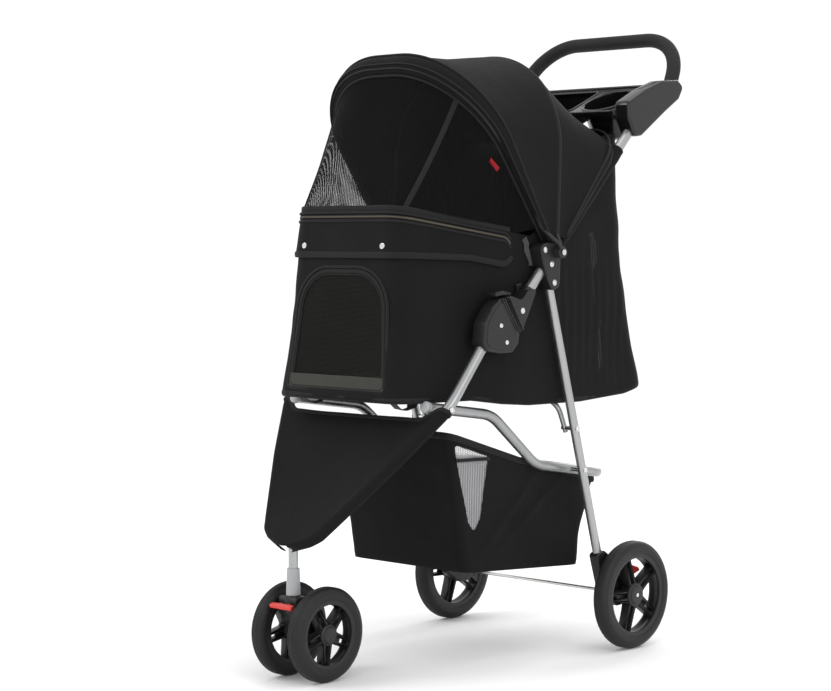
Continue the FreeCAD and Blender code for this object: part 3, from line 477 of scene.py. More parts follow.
black_nylon = hard_material("black_nylon", (0.011, 0.011, 0.0115), (0.06, 0.06, 0.06), 0.42, 0.12, 1300, 0.05,
                            0.5, Specular_IOR_Level=0.35)
LOWER_JOINT = [(-131, 493, 8), (-127, 524, 14), (-109, 548, 14), (-92, 560, 6), (-82, 560, 3), (-51, 507, 4),
               (-54, 491, 10), (-67, 478, 12), (-95, 478, 14), (-122, 482, 8)]
UPPER_JOINT = [(-80.5, 561, 1), (-70, 563, 4), (-46, 556, 10), (-32, 571, 5), (-12, 573, 4), (-22, 553, 8),
               (-42, 516, 6), (-49.5, 506.5, 1)]
LATCH = [(-100, 561.5, 3), (-86, 564, 3), (-66, 564.5, 1), (-64, 567, 1), (-84, 571, 4), (-100, 568, 3)]
BRACKET = [(-4, 636, 9), (12, 642, 4), (46, 640, 9), (43, 616, 8), (41, 575, 9), (24, 567, 9), (14, 584, 8),
           (2, 612, 8)]
HOUSING_INNER = 160.5
HOUSING = [(138, 154, 6), (158, 158, 6), (214, 120, 8), (226, 92, 12), (216, 68, 12), (190, 66, 12),
           (160, 84, 14)]
JOINT_LINE = [(-83, 561), (-50, 506)]
for side_name, side in SIDES:
    near, far = side_faces("fold_joint_lower_left")
    shell = [moulding("shell", LOWER_JOINT, near, far, 3.2, side)]
    panel = [(station * 0.86 - 12.6, height * 0.86 + 72.5, radius) for station, height, radius in LOWER_JOINT]
    shell.append(moulding("panel", panel, far - 2, far + 0.9, 0.9, side))
    for shift in (-4.2, -9.4):
        (top_station, top_height), (low_station, low_height) = JOINT_LINE
        rib = [(top_station + shift - 1.3, top_height - 2, 1), (top_station + shift + 1.3, top_height - 1, 1),
               (low_station + shift + 1.3, low_height + 4, 1), (low_station + shift - 1.3, low_height + 3, 1)]
        shell.append(moulding("rib", rib, far - 2, far + 2.2, 0.9, side))
    fit(joined(f"fold_shell_lower_{side_name}", shell), "front_leg", black_nylon, "black_plastic",
        f"fold_joint_lower_{side_name}")
    sleeve = [moulding("sleeve", UPPER_JOINT, near, far, 1.4, side)]
    rib = [(-80 + 3.4, 560, 1), (-80 + 6, 560, 1), (-48.6 + 5, 512, 1), (-48.6 + 2.4, 511, 1)]
    sleeve.append(moulding("rib", rib, far - 2, far + 2.0, 0.9, side))
    collar = rounded_profile([(8.1, 22, 0), (10.8, 22, 1.4), (12, 0, 1), (12, -16, 0)])
    sleeve.append(turned("collar", collar, at(side * TUBE_OUT, *upper_line(24)),
                         (0, math.cos(UPPER_SLOPE), math.sin(UPPER_SLOPE)), 40))
    fit(joined(f"fold_sleeve_upper_{side_name}", sleeve), "handle", black_nylon, "black_plastic",
        f"fold_joint_upper_{side_name}")
    low, high = side_faces("fold_latch_left")
    fit(moulding(f"latch_{side_name}", LATCH, low, high, 1.2, side), f"fold_latch_{side_name}", black_nylon,
        "black_plastic", f"fold_latch_{side_name}")
    low, high = side_faces("leg_bracket_left")
    fit(moulding(f"bracket_{side_name}", BRACKET, low, high, 2.6, side), "handle", black_nylon, "black_plastic",
        f"leg_bracket_{side_name}")
    high = side_faces("rear_wheel_housing_left")[1]
    fit(moulding(f"housing_{side_name}", HOUSING, HOUSING_INNER, high, 2.6, side), "rear_legs", black_nylon,
        "black_plastic", f"rear_wheel_housing_{side_name}")

# ---------------------------------------------------------------- wheels
# Solid foam tyre on a one-piece nylon wheel: a barrel, a hub with a snap cap and five spokes, each
# of two ribs. The tyre has round shoulders and shallow grooves round its tread.

tyre_foam = hard_material("tyre_foam", (0.011, 0.011, 0.0115), (0.04, 0.04, 0.04), 0.5, 0.14, 700, 0.12, 0.3,
                          Specular_IOR_Level=0.3)
wheel_nylon = hard_material("wheel_nylon", (0.013, 0.013, 0.014), (0.06, 0.06, 0.06), 0.38, 0.12, 1100, 0.04,
                            0.5, Specular_IOR_Level=0.35)
GROOVE, SPOKES = 0.7, 5


def wheel(name, body, side, hub_radius, barrel_radius):
    """Tyre and wheel fitted to the boxes of the drawn ones."""
    low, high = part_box(name + "_tyre")
    centre = (low + high) / 2
    radius, width = (high.z - low.z) / 2 / MM, (high.x - low.x) / MM
    half = width / 2
    seat = barrel_radius + 2.5
    corners = [(seat, -half + 2, 0), (seat + 4, -half + 0.4, 2), (radius - 10, -half, 6),
               (radius - 1.2, -half + 3.4, 9), (radius, -4.2, 20)]
    tread = rounded_profile(corners, 9)
    for place_along in (-3.6, 0.0, 3.6):
        tread += [(radius, place_along - 0.8), (radius - GROOVE, place_along - 0.5),
                  (radius - GROOVE, place_along + 0.5), (radius, place_along + 0.8)]
    tread += [(across, -off) for across, off in rounded_profile(corners, 9)[::-1]]
    tyre = turned(name + "_tyre_body", tread, centre, (1, 0, 0), 144)
    fit(tyre, body, tyre_foam, "tyre", name + "_tyre")

    depth = half - 2.2
    barrel = rounded_profile([(seat + 1, -depth, 0), (seat - 1, -depth - 0.6, 1),
                              (barrel_radius - 3.4, -depth, 1.4),
                              (barrel_radius - 4, -depth + 4, 2), (barrel_radius - 2.2, 0, 8),
                              (barrel_radius - 4, depth - 4, 2), (barrel_radius - 3.4, depth, 1.4),
                              (seat - 1, depth + 0.6, 1), (seat + 1, depth, 0)], 4)
    pieces = [turned("barrel", barrel, centre, (1, 0, 0), 120)]
    face = half - 0.6
    hub = rounded_profile([(3.4, -face, 0), (hub_radius * 0.72, -face, 1.5), (hub_radius * 0.78, -face + 2, 1),
                           (hub_radius, -face + 3.5, 2), (hub_radius, face - 3.5, 2),
                           (hub_radius * 0.78, face - 2, 1), (hub_radius * 0.74, face - 0.4, 1),
                           (hub_radius * 0.5, face, 2), (0, face - 0.1, 0)], 5)
    pieces.append(turned("hub", hub, centre, (side, 0, 0), 64))
    first_spoke = math.radians(18 if radius > 80 else 30)
    middle, station, height = centre.x / MM, (centre.y - DATUM) / MM, centre.z / MM
    foot, tip, web_tip = height + hub_radius - 3, height + barrel_radius - 2.4, height + barrel_radius * 0.62
    web = [(station - 4, foot, 0.3), (station + 4, foot, 0.3), (station + 4, web_tip, 0.3),
           (station - 4, web_tip, 0.3)]
    for spoke in range(SPOKES):
        turn = (Matrix.Translation(centre) @ Matrix.Rotation(first_spoke + 2 * math.pi * spoke / SPOKES, 4, "X")
                @ Matrix.Translation(-centre))
        for edge in (-1, 1):
            rib = [(station + edge * 3.0, foot, 0.3), (station + edge * 9.0, foot, 0.3),
                   (station + edge * 7.6, tip, 0.3), (station + edge * 3.6, tip, 0.3)]
            pieces.append(moulding("rib", rib, middle - depth + 3.4, middle + depth - 3.4, 1.2, 1, turn, 2))
        pieces.append(moulding("web", web, middle - 1.5, middle + 1.5, 0.5, 1, turn, 2))
    fit(joined(name + "_spoked", pieces), body, wheel_nylon, "rim_plastic", name + "_rim")


for side_name, side in SIDES:
    wheel(f"rear_wheel_{side_name}", f"rear_wheel_{side_name}", side, 19, 62)
    wheel(f"front_wheel_{side_name}", f"front_wheel_{side_name}", side, 16, 48)

# ---------------------------------------------------------------- brake pedals and swivel lock
# Red moulded levers with a ribbed tread: one pedal inside each rear wheel, one bar on the caster.

red_plastic = hard_material("red_plastic", (0.62, 0.03, 0.018), (0.8, 0.2, 0.15), 0.34, 0.1, 1200, 0.03, 0.5)
PEDAL = [(213, 126, 5), (231, 127, 5), (252, 121, 2), (256, 115, 2), (232, 108, 5), (213, 109, 5)]
for side_name, side in SIDES:
    low, high = side_faces("brake_pedal_left")
    lever = [moulding("lever", PEDAL, low, high, 2.0, side)]
    for number in range(4):
        station = 235 + number * 4.6
        top = 125.8 - (station - 233) * 0.3
        tread_rib = [(station - 0.9, top, 0.3), (station + 0.9, top, 0.3), (station + 0.9, top + 1.3, 0.5),
                     (station - 0.9, top + 1.3, 0.5)]
        lever.append(moulding("tread", tread_rib, low + 2, high - 2, 0.4, side, None, 2))
    fit(joined(f"pedal_{side_name}", lever), f"brake_pedal_{side_name}", red_plastic, "red_plastic",
        f"brake_pedal_{side_name}")
LOCK_BAR = [(-370, 114, 2), (-362.2, 117, 1), (-362.2, 108, 1), (-369, 109, 2)]
LOCK_EAR = [(-363.5, 116, 1), (-356, 116.4, 3), (-353.6, 112, 3), (-356, 107.8, 3), (-363.5, 108.4, 1)]
lock = [moulding("bar", LOCK_BAR, -23, 23, 1.5)]
for edge in (-1, 1):
    lock.append(moulding("ear", LOCK_EAR, *sorted((edge * 5.4, edge * 10)), 0.8))
fit(joined("lock_lever", lock), "swivel_lock", red_plastic, "red_plastic", "swivel_lock")

# ---------------------------------------------------------------- caster fork
# Black nylon block that turns on the stem, with a bearing housing at the top and two axle cheeks.

FORK = [(-356, 126, 5), (-331, 126, 5), (-322, 104, 10), (-300, 84, 10), (-300, 56, 12), (-328, 54, 12),
        (-352, 90, 10)]
FORK_CHEEK = [(-350, 122, 4), (-334, 122, 4), (-318, 100, 10), (-298, 82, 10), (-298, 58, 12), (-324, 56, 12),
              (-346, 92, 10)]
fork = [moulding("block", FORK, -19, 19, 3)]
for edge in (-1, 1):
    fork.append(moulding("cheek", FORK_CHEEK, *sorted((edge * 15, edge * 22)), 2))
fork.append(turned("bearing", rounded_profile([(8, 5, 0), (12, 5, 1.5), (14.5, -6, 2), (14.5, -20, 0)]),
                   Vector((0, stem_foot.y, 122 * MM)), (0, 0, 1), 48))
fit(joined("fork_body", fork), "caster", black_nylon, "black_plastic", "caster_fork")

# ---------------------------------------------------------------- cabin cloth
# Black oxford-weave polyester sewn into a box, flared at the bottom rear and open at the top. Its
# hem is bound with tape, and it hangs between the seat tube and the upper tubes.

# Plain weave: a checker of warp and weft bumps. The pitch is in millimetres.
plain_weave, ends_in, ends_out = group_tree("plain_weave", [("Pitch", FLOAT, 0.9)], [("Height", FLOAT)])
place = add(plain_weave, "ShaderNodeTexCoord")
parts = add(plain_weave, "ShaderNodeSeparateXYZ")
wire(plain_weave, (place.outputs["Object"], parts.inputs[0]))
turns = calc(plain_weave, "DIVIDE", 1000 * math.pi, ends_in.outputs["Pitch"])


def thread_wave(tree, parts, turns, first, second, share):
    """A wave along one axis, leaning a little on another, so that it never dies out on a flat face."""
    leaning = calc(tree, "ADD", parts.outputs[first], calc(tree, "MULTIPLY", parts.outputs[second], share))
    return calc(tree, "SINE", calc(tree, "MULTIPLY", leaning, turns))


warp = thread_wave(plain_weave, parts, turns, "X", "Y", 0.62)
weft = thread_wave(plain_weave, parts, turns, "Z", "Y", 0.38)
checker = calc(plain_weave, "MULTIPLY", calc(plain_weave, "MULTIPLY", warp, weft), 0.5)
wire(plain_weave, (calc(plain_weave, "ADD", checker, 0.5), ends_out.inputs["Height"]))

# Netting: 1 on the threads and 0 in the holes.
net_weave, ends_in, ends_out = group_tree("net_weave", [("Pitch", FLOAT, 1.7), ("Thread Share", FLOAT, 0.5)],
                                          [("Mask", FLOAT)])
place = add(net_weave, "ShaderNodeTexCoord")
parts = add(net_weave, "ShaderNodeSeparateXYZ")
wire(net_weave, (place.outputs["Object"], parts.inputs[0]))
turns = calc(net_weave, "DIVIDE", 1000 * math.pi, ends_in.outputs["Pitch"])
warp = calc(net_weave, "ABSOLUTE", thread_wave(net_weave, parts, turns, "X", "Y", 0.62))
weft = calc(net_weave, "ABSOLUTE", thread_wave(net_weave, parts, turns, "Z", "Y", 0.38))
on_thread = calc(net_weave, "LESS_THAN", calc(net_weave, "MINIMUM", warp, weft), ends_in.outputs["Thread Share"])
wire(net_weave, (on_thread, ends_out.inputs["Mask"]))

# Lint and dust: small light specks, and a soft bloom in broad patches.
light_dust, ends_in, ends_out = group_tree(
    "light_dust",
    [("Colour", COLOUR, (0, 0, 0, 1)), ("Dust Colour", COLOUR, (0.2, 0.19, 0.18, 1)), ("Amount", FLOAT, 0.1)],
    [("Colour", COLOUR)])
place = add(light_dust, "ShaderNodeTexCoord")
specks = add(light_dust, "ShaderNodeTexNoise", Scale=420.0, Detail=2.0)
drift = add(light_dust, "ShaderNodeTexNoise", Scale=9.0, Detail=5.0)
wire(light_dust, (place.outputs["Object"], specks.inputs["Vector"]),
     (place.outputs["Object"], drift.inputs["Vector"]))
speck_mask = calc(light_dust, "MULTIPLY", calc(light_dust, "GREATER_THAN", specks.outputs["Fac"], 0.7), 0.6)
bloom = calc(light_dust, "MULTIPLY", drift.outputs["Fac"], 0.5)
share = calc(light_dust, "MULTIPLY", calc(light_dust, "ADD", speck_mask, bloom), ends_in.outputs["Amount"])
wire(light_dust, (mix_colours(light_dust, share, ends_in.outputs["Colour"], ends_in.outputs["Dust Colour"]),
                  ends_out.inputs["Colour"]))


def cloth_material(name, colour, pitch, weave_depth, dust=0.1, roughness=0.78, **settings):
    """Woven cloth: a painted highlight on the thread tops, soft creases, a little lint and a weave in relief."""
    material, tree, shader = blank_material(name, Sheen_Roughness=0.45, Specular_IOR_Level=0.1, **settings)
    weave = use_group(tree, plain_weave, Pitch=pitch)
    grain = use_group(tree, surface_grain, Grain_Scale=90.0, Mottle_Scale=7.0)
    dusty = use_group(tree, light_dust, Amount=dust)
    # Painted highlight: the weave's height mixes the lighter colour onto the thread tops. The mottling below is
    # random tone.
    lighter = tuple(1.55 * value + 0.002 for value in colour)
    threads = mix_colours(tree, weave.outputs["Height"], (*colour, 1), (*lighter, 1))
    faded_and_highlit = mix_colours(tree, calc(tree, "MULTIPLY", grain.outputs["Mottle"], 0.35), threads, (*lighter, 1))
    wire(tree, (faded_and_highlit, dusty.inputs["Colour"]), (dusty.outputs["Colour"], shader.inputs["Base Color"]))
    gloss = calc(tree, "ADD", calc(tree, "MULTIPLY", grain.outputs["Mottle"], -0.16), roughness + 0.08)
    creases = add(tree, "ShaderNodeBump", Strength=0.5, Distance=1.1 * MM)
    relief = add(tree, "ShaderNodeBump", Strength=0.8, Distance=weave_depth * MM)
    wire(tree, (gloss, shader.inputs["Roughness"]), (grain.outputs["Height"], creases.inputs["Height"]),
         (weave.outputs["Height"], relief.inputs["Height"]), (creases.outputs["Normal"], relief.inputs["Normal"]),
         (relief.outputs["Normal"], shader.inputs["Normal"]))
    return material


def netting_material(name, colour, pitch, thread_share, **settings):
    """Netting: mottled threads, with clear holes between them."""
    material, tree, shader = blank_material(name, Roughness=0.7, Specular_IOR_Level=0.06, **settings)
    net = use_group(tree, net_weave, Pitch=pitch, Thread_Share=thread_share)
    grain = use_group(tree, surface_grain, Grain_Scale=700.0, Mottle_Scale=12.0)
    lighter = tuple(1.8 * value for value in colour)
    threads = mix_colours(tree, grain.outputs["Mottle"], (*colour, 1), (*lighter, 1))
    wire(tree, (threads, shader.inputs["Base Color"]), (net.outputs["Mask"], shader.inputs["Alpha"]))
    bump = add(tree, "ShaderNodeBump", Strength=0.5, Distance=0.15 * MM)
    wire(tree, (grain.outputs["Height"], bump.inputs["Height"]), (bump.outputs["Normal"], shader.inputs["Normal"]))
    return material


black_oxford = cloth_material("black_oxford", (0.0036, 0.0036, 0.0038), 0.9, 0.16, dust=0.03, Sheen_Weight=0.015)
binding_tape = cloth_material("binding_tape", (0.0095, 0.0095, 0.01), 0.7, 0.2, dust=0.04, Sheen_Weight=0.05)
webbing = cloth_material("webbing", (0.035, 0.038, 0.042), 1.6, 0.3, Sheen_Weight=0.2)


def sheet_from_rows(name, rows, closed=False):
    """A sheet through rows of points. A closed sheet joins each row's end to its start."""
    width = len(rows[0])
    points = [point for row in rows for point in row]
    faces = []
    for row in range(len(rows) - 1):
        for column in range(width if closed else width - 1):
            following = (column + 1) % width
            faces.append((row * width + column, row * width + following, (row + 1) * width + following,
                          (row + 1) * width + column))
    return mesh_piece(name, points, faces)


def settle(piece):
    """Turn a piece's modifiers into its mesh."""
    graph = bpy.context.evaluated_depsgraph_get()
    mesh = bpy.data.meshes.new_from_object(piece.evaluated_get(graph))
    piece.modifiers.clear()
    piece.data = mesh
    return piece


def thicken(piece, thickness, offset=-1.0):
    solid = piece.modifiers.new("thickness", "SOLIDIFY")
    solid.thickness, solid.offset = thickness * MM, offset
    return settle(piece)


def cut_with(piece, *cutters):
    """Cut closed pieces out of a closed piece, and remove them."""
    for cutter in cutters:
        knife = piece.modifiers.new("cut", "BOOLEAN")
        knife.operation, knife.solver, knife.object = "DIFFERENCE", "EXACT", cutter
    settle(piece)
    for cutter in cutters:
        bpy.data.objects.remove(cutter)
    return piece


def prism(name, outline, place_point, low, high):
    """A closed block: the outline, placed at its low and high ends by place_point(across, up, depth)."""
    count = len(outline)
    points = [place_point(a, b, depth) for depth in (low, high) for a, b in outline]
    faces = [(i, (i + 1) % count, count + (i + 1) % count, count + i) for i in range(count)]
    faces += [tuple(range(count))[::-1], tuple(range(count, 2 * count))]
    return mend(mesh_piece(name, points, faces, smooth=False))


def ellipse(half_out, half_wide, steps=12):
    """A cord's or tape's section: (out from the surface, across it), in millimetres."""
    return [(half_out * math.cos(2 * math.pi * s / steps), half_wide * math.sin(2 * math.pi * s / steps))
            for s in range(steps)]


def sweep(name, path, section, closed=False, outward=None):
    """A section carried along a path. outward gives the surface's outward way at each point of the path."""
    count = len(path)
    rows = []
    normal = None
    for index, point in enumerate(path):
        before = path[index - 1] if closed or index else path[0]
        after = path[(index + 1) % count] if closed or index < count - 1 else path[-1]
        tangent = (after - before).normalized()
        if outward:
            normal = outward[index]
        elif normal is None:
            normal = tangent.orthogonal()
        normal = (normal - tangent * normal.dot(tangent)).normalized()
        across = tangent.cross(normal)
        rows.append([point + (normal * a + across * b) * MM for a, b in section])
    if closed:
        rows.append(rows[0])
    return mend(sheet_from_rows(name, rows, closed=True), 1e-6 if closed else 0, not closed, face_out=False)


def rumple(point, size, depth):
    """Soft creasing: noise at two sizes, in metres."""
    broad = noise.noise(point / (size * MM))
    small = noise.noise(point / (size * MM * 0.4) + Vector((7.1, 3.3, 1.9)))
    return (broad + 0.4 * small) * depth * MM


def along(table, place_at):
    """A height read off a table of (station, height) with straight runs between its entries."""
    for (left, low), (right, high) in zip(table, table[1:]):
        if place_at <= right:
            share = min(max((place_at - left) / (right - left), 0), 1)
            return low + (high - low) * share
    return table[-1][1]


def evenly(points, count, closed=False):
    """The same line with equally spaced points."""
    line = points + points[:1] if closed else points
    lengths = [0.0]
    for first, second in zip(line, line[1:]):
        lengths.append(lengths[-1] + (second - first).length)
    result, piece_number = [], 0
    for step in range(count):
        target = lengths[-1] * step / (count if closed else count - 1)
        while piece_number < len(line) - 2 and lengths[piece_number + 1] < target:
            piece_number += 1
        run = lengths[piece_number + 1] - lengths[piece_number]
        share = (target - lengths[piece_number]) / run if run > 1e-9 else 0
        result.append(line[piece_number].lerp(line[piece_number + 1], min(max(share, 0), 1)))
    return result


# Each level is (height, half width, rear station, front half width, front station).
CABIN_LEVELS = [(394, 156, 290, 133, -259), (423, 157, 287, 131, -256), (485, 157, 268, 124, -249),
                (550, 157, 252, 118, -243), (630, 156, 236, 112, -237), (690, 155, 232, 108, -233),
                (812, 153, 229, 100, -226)]
HEM = [(-400, 411), (-120, 410), (-60, 402), (0, 397), (120, 396), (230, 403), (300, 418), (400, 421)]
RIM = [(-400, 688), (-233, 688), (-42, 658), (0, 652), (30, 666), (60, 692), (184, 812), (400, 812)]
ROUND = 288
LEVEL_STEP = 7


def cabin_level(height):
    for lower, upper in zip(CABIN_LEVELS, CABIN_LEVELS[1:]):
        if height <= upper[0]:
            share = (height - lower[0]) / (upper[0] - lower[0])
            return [a + (b - a) * share for a, b in zip(lower, upper)]
    return list(CABIN_LEVELS[-1])


def cabin_ring(height):
    """The cabin's plan outline at a height, from the rear centre round by the left, the front and the right."""
    _, half, rear, front_half, front = cabin_level(height)
    corners = [((0, rear), 0), ((half, rear), 36), ((half, -40), 160), ((front_half, front), 34),
               ((-front_half, front), 34), ((-half, -40), 160), ((-half, rear), 36)]
    ring = rounded_path([(Vector((x, station, 0)), radius) for (x, station), radius in corners], 14, closed=True)
    return evenly(ring, ROUND, closed=True)


ring_heights = list(range(390, 816, LEVEL_STEP))
cabin_rings = [cabin_ring(max(height, 394)) for height in ring_heights]


def skin(turn, height, lift=0.0):
    """A point on the cabin, and the way out of it. turn counts round the ring, lift is off the cloth."""
    level = min(max((height - ring_heights[0]) / LEVEL_STEP, 0), len(cabin_rings) - 1.001)
    step = math.floor(turn)
    lower, upper, share = cabin_rings[int(level)], cabin_rings[int(level) + 1], level % 1
    first, second, between = step % ROUND, (step + 1) % ROUND, turn - step

    def mixed(index):
        return lower[index].lerp(upper[index], share)

    here = mixed(first).lerp(mixed(second), between)
    way = mixed((first + 2) % ROUND) - mixed((first - 2) % ROUND)
    out = Vector((way.y, -way.x, 0)).normalized()
    if out.dot(Vector((here.x, here.y, 0))) < 0:
        out = -out
    return at(here.x + out.x * lift, here.y + out.y * lift, height), out


def station_of(point):
    return (point.y - DATUM) / MM


def edge_height(table, turn, guess):
    """The height at which the table's line crosses the cabin at that turn."""
    height = guess
    for _ in range(4):
        height = along(table, station_of(skin(turn, height)[0]))
    return height


def turn_at(side, station, height):
    """Where round the ring the side wall has that station. Left is the first half of the ring."""
    best = min(range(8, ROUND // 2 - 20), key=lambda turn: abs(station_of(skin(turn, height)[0]) - station))
    return best if side > 0 else ROUND - best


def turn_across(x, height, low, high):
    """Where round the ring, between two turns, the wall has that distance off the centre plane."""
    rising = skin(high, height)[0].x > skin(low, height)[0].x
    for _ in range(24):
        middle = (low + high) / 2
        if (skin(middle, height)[0].x / MM < x) == rising:
            low = middle
        else:
            high = middle
    return (low + high) / 2


FRONT_WALL, REAR_WALL = (ROUND // 2 - 44, ROUND // 2 + 44), (-40, 40)
CABIN_ROWS = 58
rows = []
for row in range(CABIN_ROWS + 1):
    level = []
    for turn in range(ROUND):
        low, high = edge_height(HEM, turn, 405), edge_height(RIM, turn, 680)
        height = low + (high - low) * row / CABIN_ROWS
        point, out = skin(turn, height)
        loose = math.sin(math.pi * row / CABIN_ROWS)
        station = station_of(point)
        push = rumple(point, 95, 2.6) * (0.35 + loose)
        if abs(point.x) / MM > 140 and 60 < station < 230:
            gather = math.exp(-((height - 520) / 90) ** 2)
            push += math.sin(station / 3.1 + 0.4 * math.sin(height / 23)) * 0.9 * MM * gather
        push += -1.5 * MM * loose
        level.append(point + out * push)
    rows.append(level)
cabin = thicken(sheet_from_rows("cabin_cloth", rows, closed=True), 2.4)

DOOR = [(103, 424, 8), (88, 603, 62), (-88, 603, 62), (-103, 424, 8)]
REAR_DOOR = [(104, 438, 12), (100, 770, 12), (-100, 770, 12), (-104, 438, 12)]


def outline_2d(corners, grow=0.0, steps=14):
    path = rounded_path([(Vector((a, b, 0)), r) for a, b, r in corners], steps, closed=True)
    middle = sum(path, Vector()) / len(path)
    return [(p.x + (p - middle).normalized().x * grow, p.y + (p - middle).normalized().y * grow) for p in path]


def across_wall(a, b, depth):
    return at(a, depth, b)


def doorway(corners, grow, lift, wall, count):
    """A doorway's outline on its wall, grown and lifted off it, and the ways out."""
    path = [Vector((a, b, 0)) for a, b in outline_2d(corners, grow)]
    spots = [skin(turn_across(spot.x, spot.y, *wall), spot.y, lift) for spot in evenly(path, count, closed=True)]
    return [point for point, _ in spots], [out for _, out in spots]


def crumple(settles_at, *pieces):
    """Give each piece its own copy of its mesh. The height settles_at, in metres, is not used."""
    for piece in pieces:
        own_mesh(piece)


CABIN_SETTLES = 0.4
cut_with(cabin, prism("front_doorway", outline_2d(DOOR, 0.6), across_wall, -300, -200),
         prism("rear_doorway", outline_2d(REAR_DOOR, 0.6), across_wall, 200, 320))
fit(cabin, "seat_frame", black_oxford, "black_fabric", "cabin_shell")

floor_rows = []
for ring_share in (0.999, 0.985, 0.93, 0.8, 0.6, 0.4, 0.2, 0.02):
    level = []
    for turn in range(0, ROUND, 2):
        point, out = skin(turn, 412, -3.2)
        middle = at(0, station_of(point) * 0.2, 412)
        sag = Vector((0, 0, -4 * MM * (1 - ring_share)))
        level.append(middle.lerp(point, ring_share) + sag)
    floor_rows.append(level)
floor_cloth = thicken(sheet_from_rows("cabin_floor_cloth", floor_rows, closed=True), 1.6)
fit(floor_cloth, "seat_frame", black_oxford, "black_fabric")

hem_path, hem_out = [], []
for turn in range(ROUND):
    point, out = skin(turn, edge_height(HEM, turn, 405), 0.2)
    hem_path.append(point + Vector((0, 0, 2.5 * MM)))
    hem_out.append(out)
cabin_hem = sweep("cabin_hem", hem_path, ellipse(2.2, 5.0), closed=True, outward=hem_out)
fit(cabin_hem, "seat_frame", binding_tape, "black_fabric")
crumple(CABIN_SETTLES, cabin, floor_cloth, cabin_hem)

# ---------------------------------------------------------------- cabin band
# A cuff of the same cloth round the cabin's front, snapped down, with a taped lower edge. The
# visor's zip, piped on both sides, runs along its top.

BAND_TOP = [(-400, 685), (-233, 685), (-44, 653)]
BAND_FOOT = [(-400, 624), (-233, 624), (-120, 620), (-44, 607)]
first_turn = turn_at(1, -46, 630)
last_turn = ROUND - first_turn
BAND_ROWS, BAND_STEPS = 12, 2 * (last_turn - first_turn)
rows = []
foot_path, top_path, zip_path, inner_path, ways = [], [], [], [], []
for row in range(BAND_ROWS + 1):
    level = []
    for step in range(BAND_STEPS + 1):
        turn = first_turn + step / 2
        low, high = edge_height(BAND_FOOT, turn, 620), edge_height(BAND_TOP, turn, 670)
        share = row / BAND_ROWS
        from_end = min(step, BAND_STEPS - step)
        low += 14 * max(0, 1 - from_end / 7) ** 2
        high -= 8 * max(0, 1 - from_end / 5) ** 2
        height = low + (high - low) * share
        point, out = skin(turn, height, 2.0 + 3.4 * (1 - share) ** 2)
        level.append(point + out * rumple(point, 60, 0.9))
        if row == 0:
            foot_path.append(point + out * 0.6 * MM)
            ways.append(out)
        if row == BAND_ROWS:
            top_path.append(skin(turn, high + 1.5, 3.6)[0])
            zip_path.append(skin(turn, high - 4.5, 3.6)[0])
            inner_path.append(skin(turn, high - 10.5, 3.8)[0])
    rows.append(level)
band = thicken(sheet_from_rows("front_band", rows), 1.4)
fit(band, "seat_frame", black_oxford, "black_fabric", "cabin_band")
band_tape = sweep("band_tape", foot_path, ellipse(1.5, 4.6), outward=ways)
fit(band_tape, "seat_frame", binding_tape, "black_fabric")
band_piping = [sweep(f"piping_{number}", path, ellipse(1.9, 1.9, 10), outward=ways)
               for number, path in enumerate((top_path, inner_path))]
band_piping = joined("band_piping", band_piping)
fit(band_piping, "seat_frame", binding_tape, "black_fabric")
zip_metal = hard_material("zip_metal", (0.13, 0.115, 0.09), (0.4, 0.36, 0.3), 0.4, 0.1, 2400, 0.02, Metallic=0.7)


def zip_teeth(name, path, ways, pitch, wide):
    """A run of small zip teeth along a path, set alternately to each side."""
    lengths = [(b - a).length for a, b in zip(path, path[1:])]
    count = int(sum(lengths) / (pitch * MM))
    points, faces = [], []
    spots = evenly(path, count)
    for number in range(count - 1):
        place_here = spots[number]
        along_way = (spots[number + 1] - place_here).normalized()
        out = ways[min(int(number * len(ways) / count), len(ways) - 1)]
        across = along_way.cross(out).normalized()
        centre = place_here + across * (0.45 if number % 2 else -0.45) * MM
        start = len(points)
        for a in (-1, 1):
            for b in (-1, 1):
                for c in (-1, 1):
                    points.append(centre + along_way * a * pitch * 0.36 * MM + across * b * wide / 2 * MM
                                  + out * c * 0.7 * MM)
        faces += [tuple(start + i for i in quad) for quad in
                  ((0, 1, 3, 2), (4, 6, 7, 5), (0, 4, 5, 1), (2, 3, 7, 6), (0, 2, 6, 4), (1, 5, 7, 3))]
    return mesh_piece(name, points, faces, smooth=False)


band_zip = zip_teeth("band_zip", zip_path, ways, 1.6, 2.4)
fit(band_zip, "seat_frame", zip_metal, "steel")
SNAP = rounded_profile([(0, 1.9, 0), (2.6, 1.7, 1), (4.3, 1.3, 0.6), (5.0, 0.2, 0.5), (5.0, -1, 0)])
snaps = []
for x in (83, -83):
    point, out = skin(turn_across(x, 637, *FRONT_WALL), 637, 4.6)
    snaps.append(turned(f"snap_{x}", SNAP, point, out, 32))
band_snaps = fit(joined("band_snaps", snaps), "seat_frame", plated_steel, "steel")
crumple(CABIN_SETTLES, band, band_tape, band_piping, band_zip, band_snaps)

# ---------------------------------------------------------------- side straps and buckles
# Grey-blue webbing tabs run from the cabin's side to the frame, each with a black ladder buckle.


def strap(name, path, ways, wide, thick=1.0):
    return sweep(name, path, ellipse(thick, wide / 2, 10), outward=ways)


def on_side(side, station, height, lift=0.0):
    """A point on the side wall by its station and height."""
    return skin(turn_at(side, station, height), height, lift)


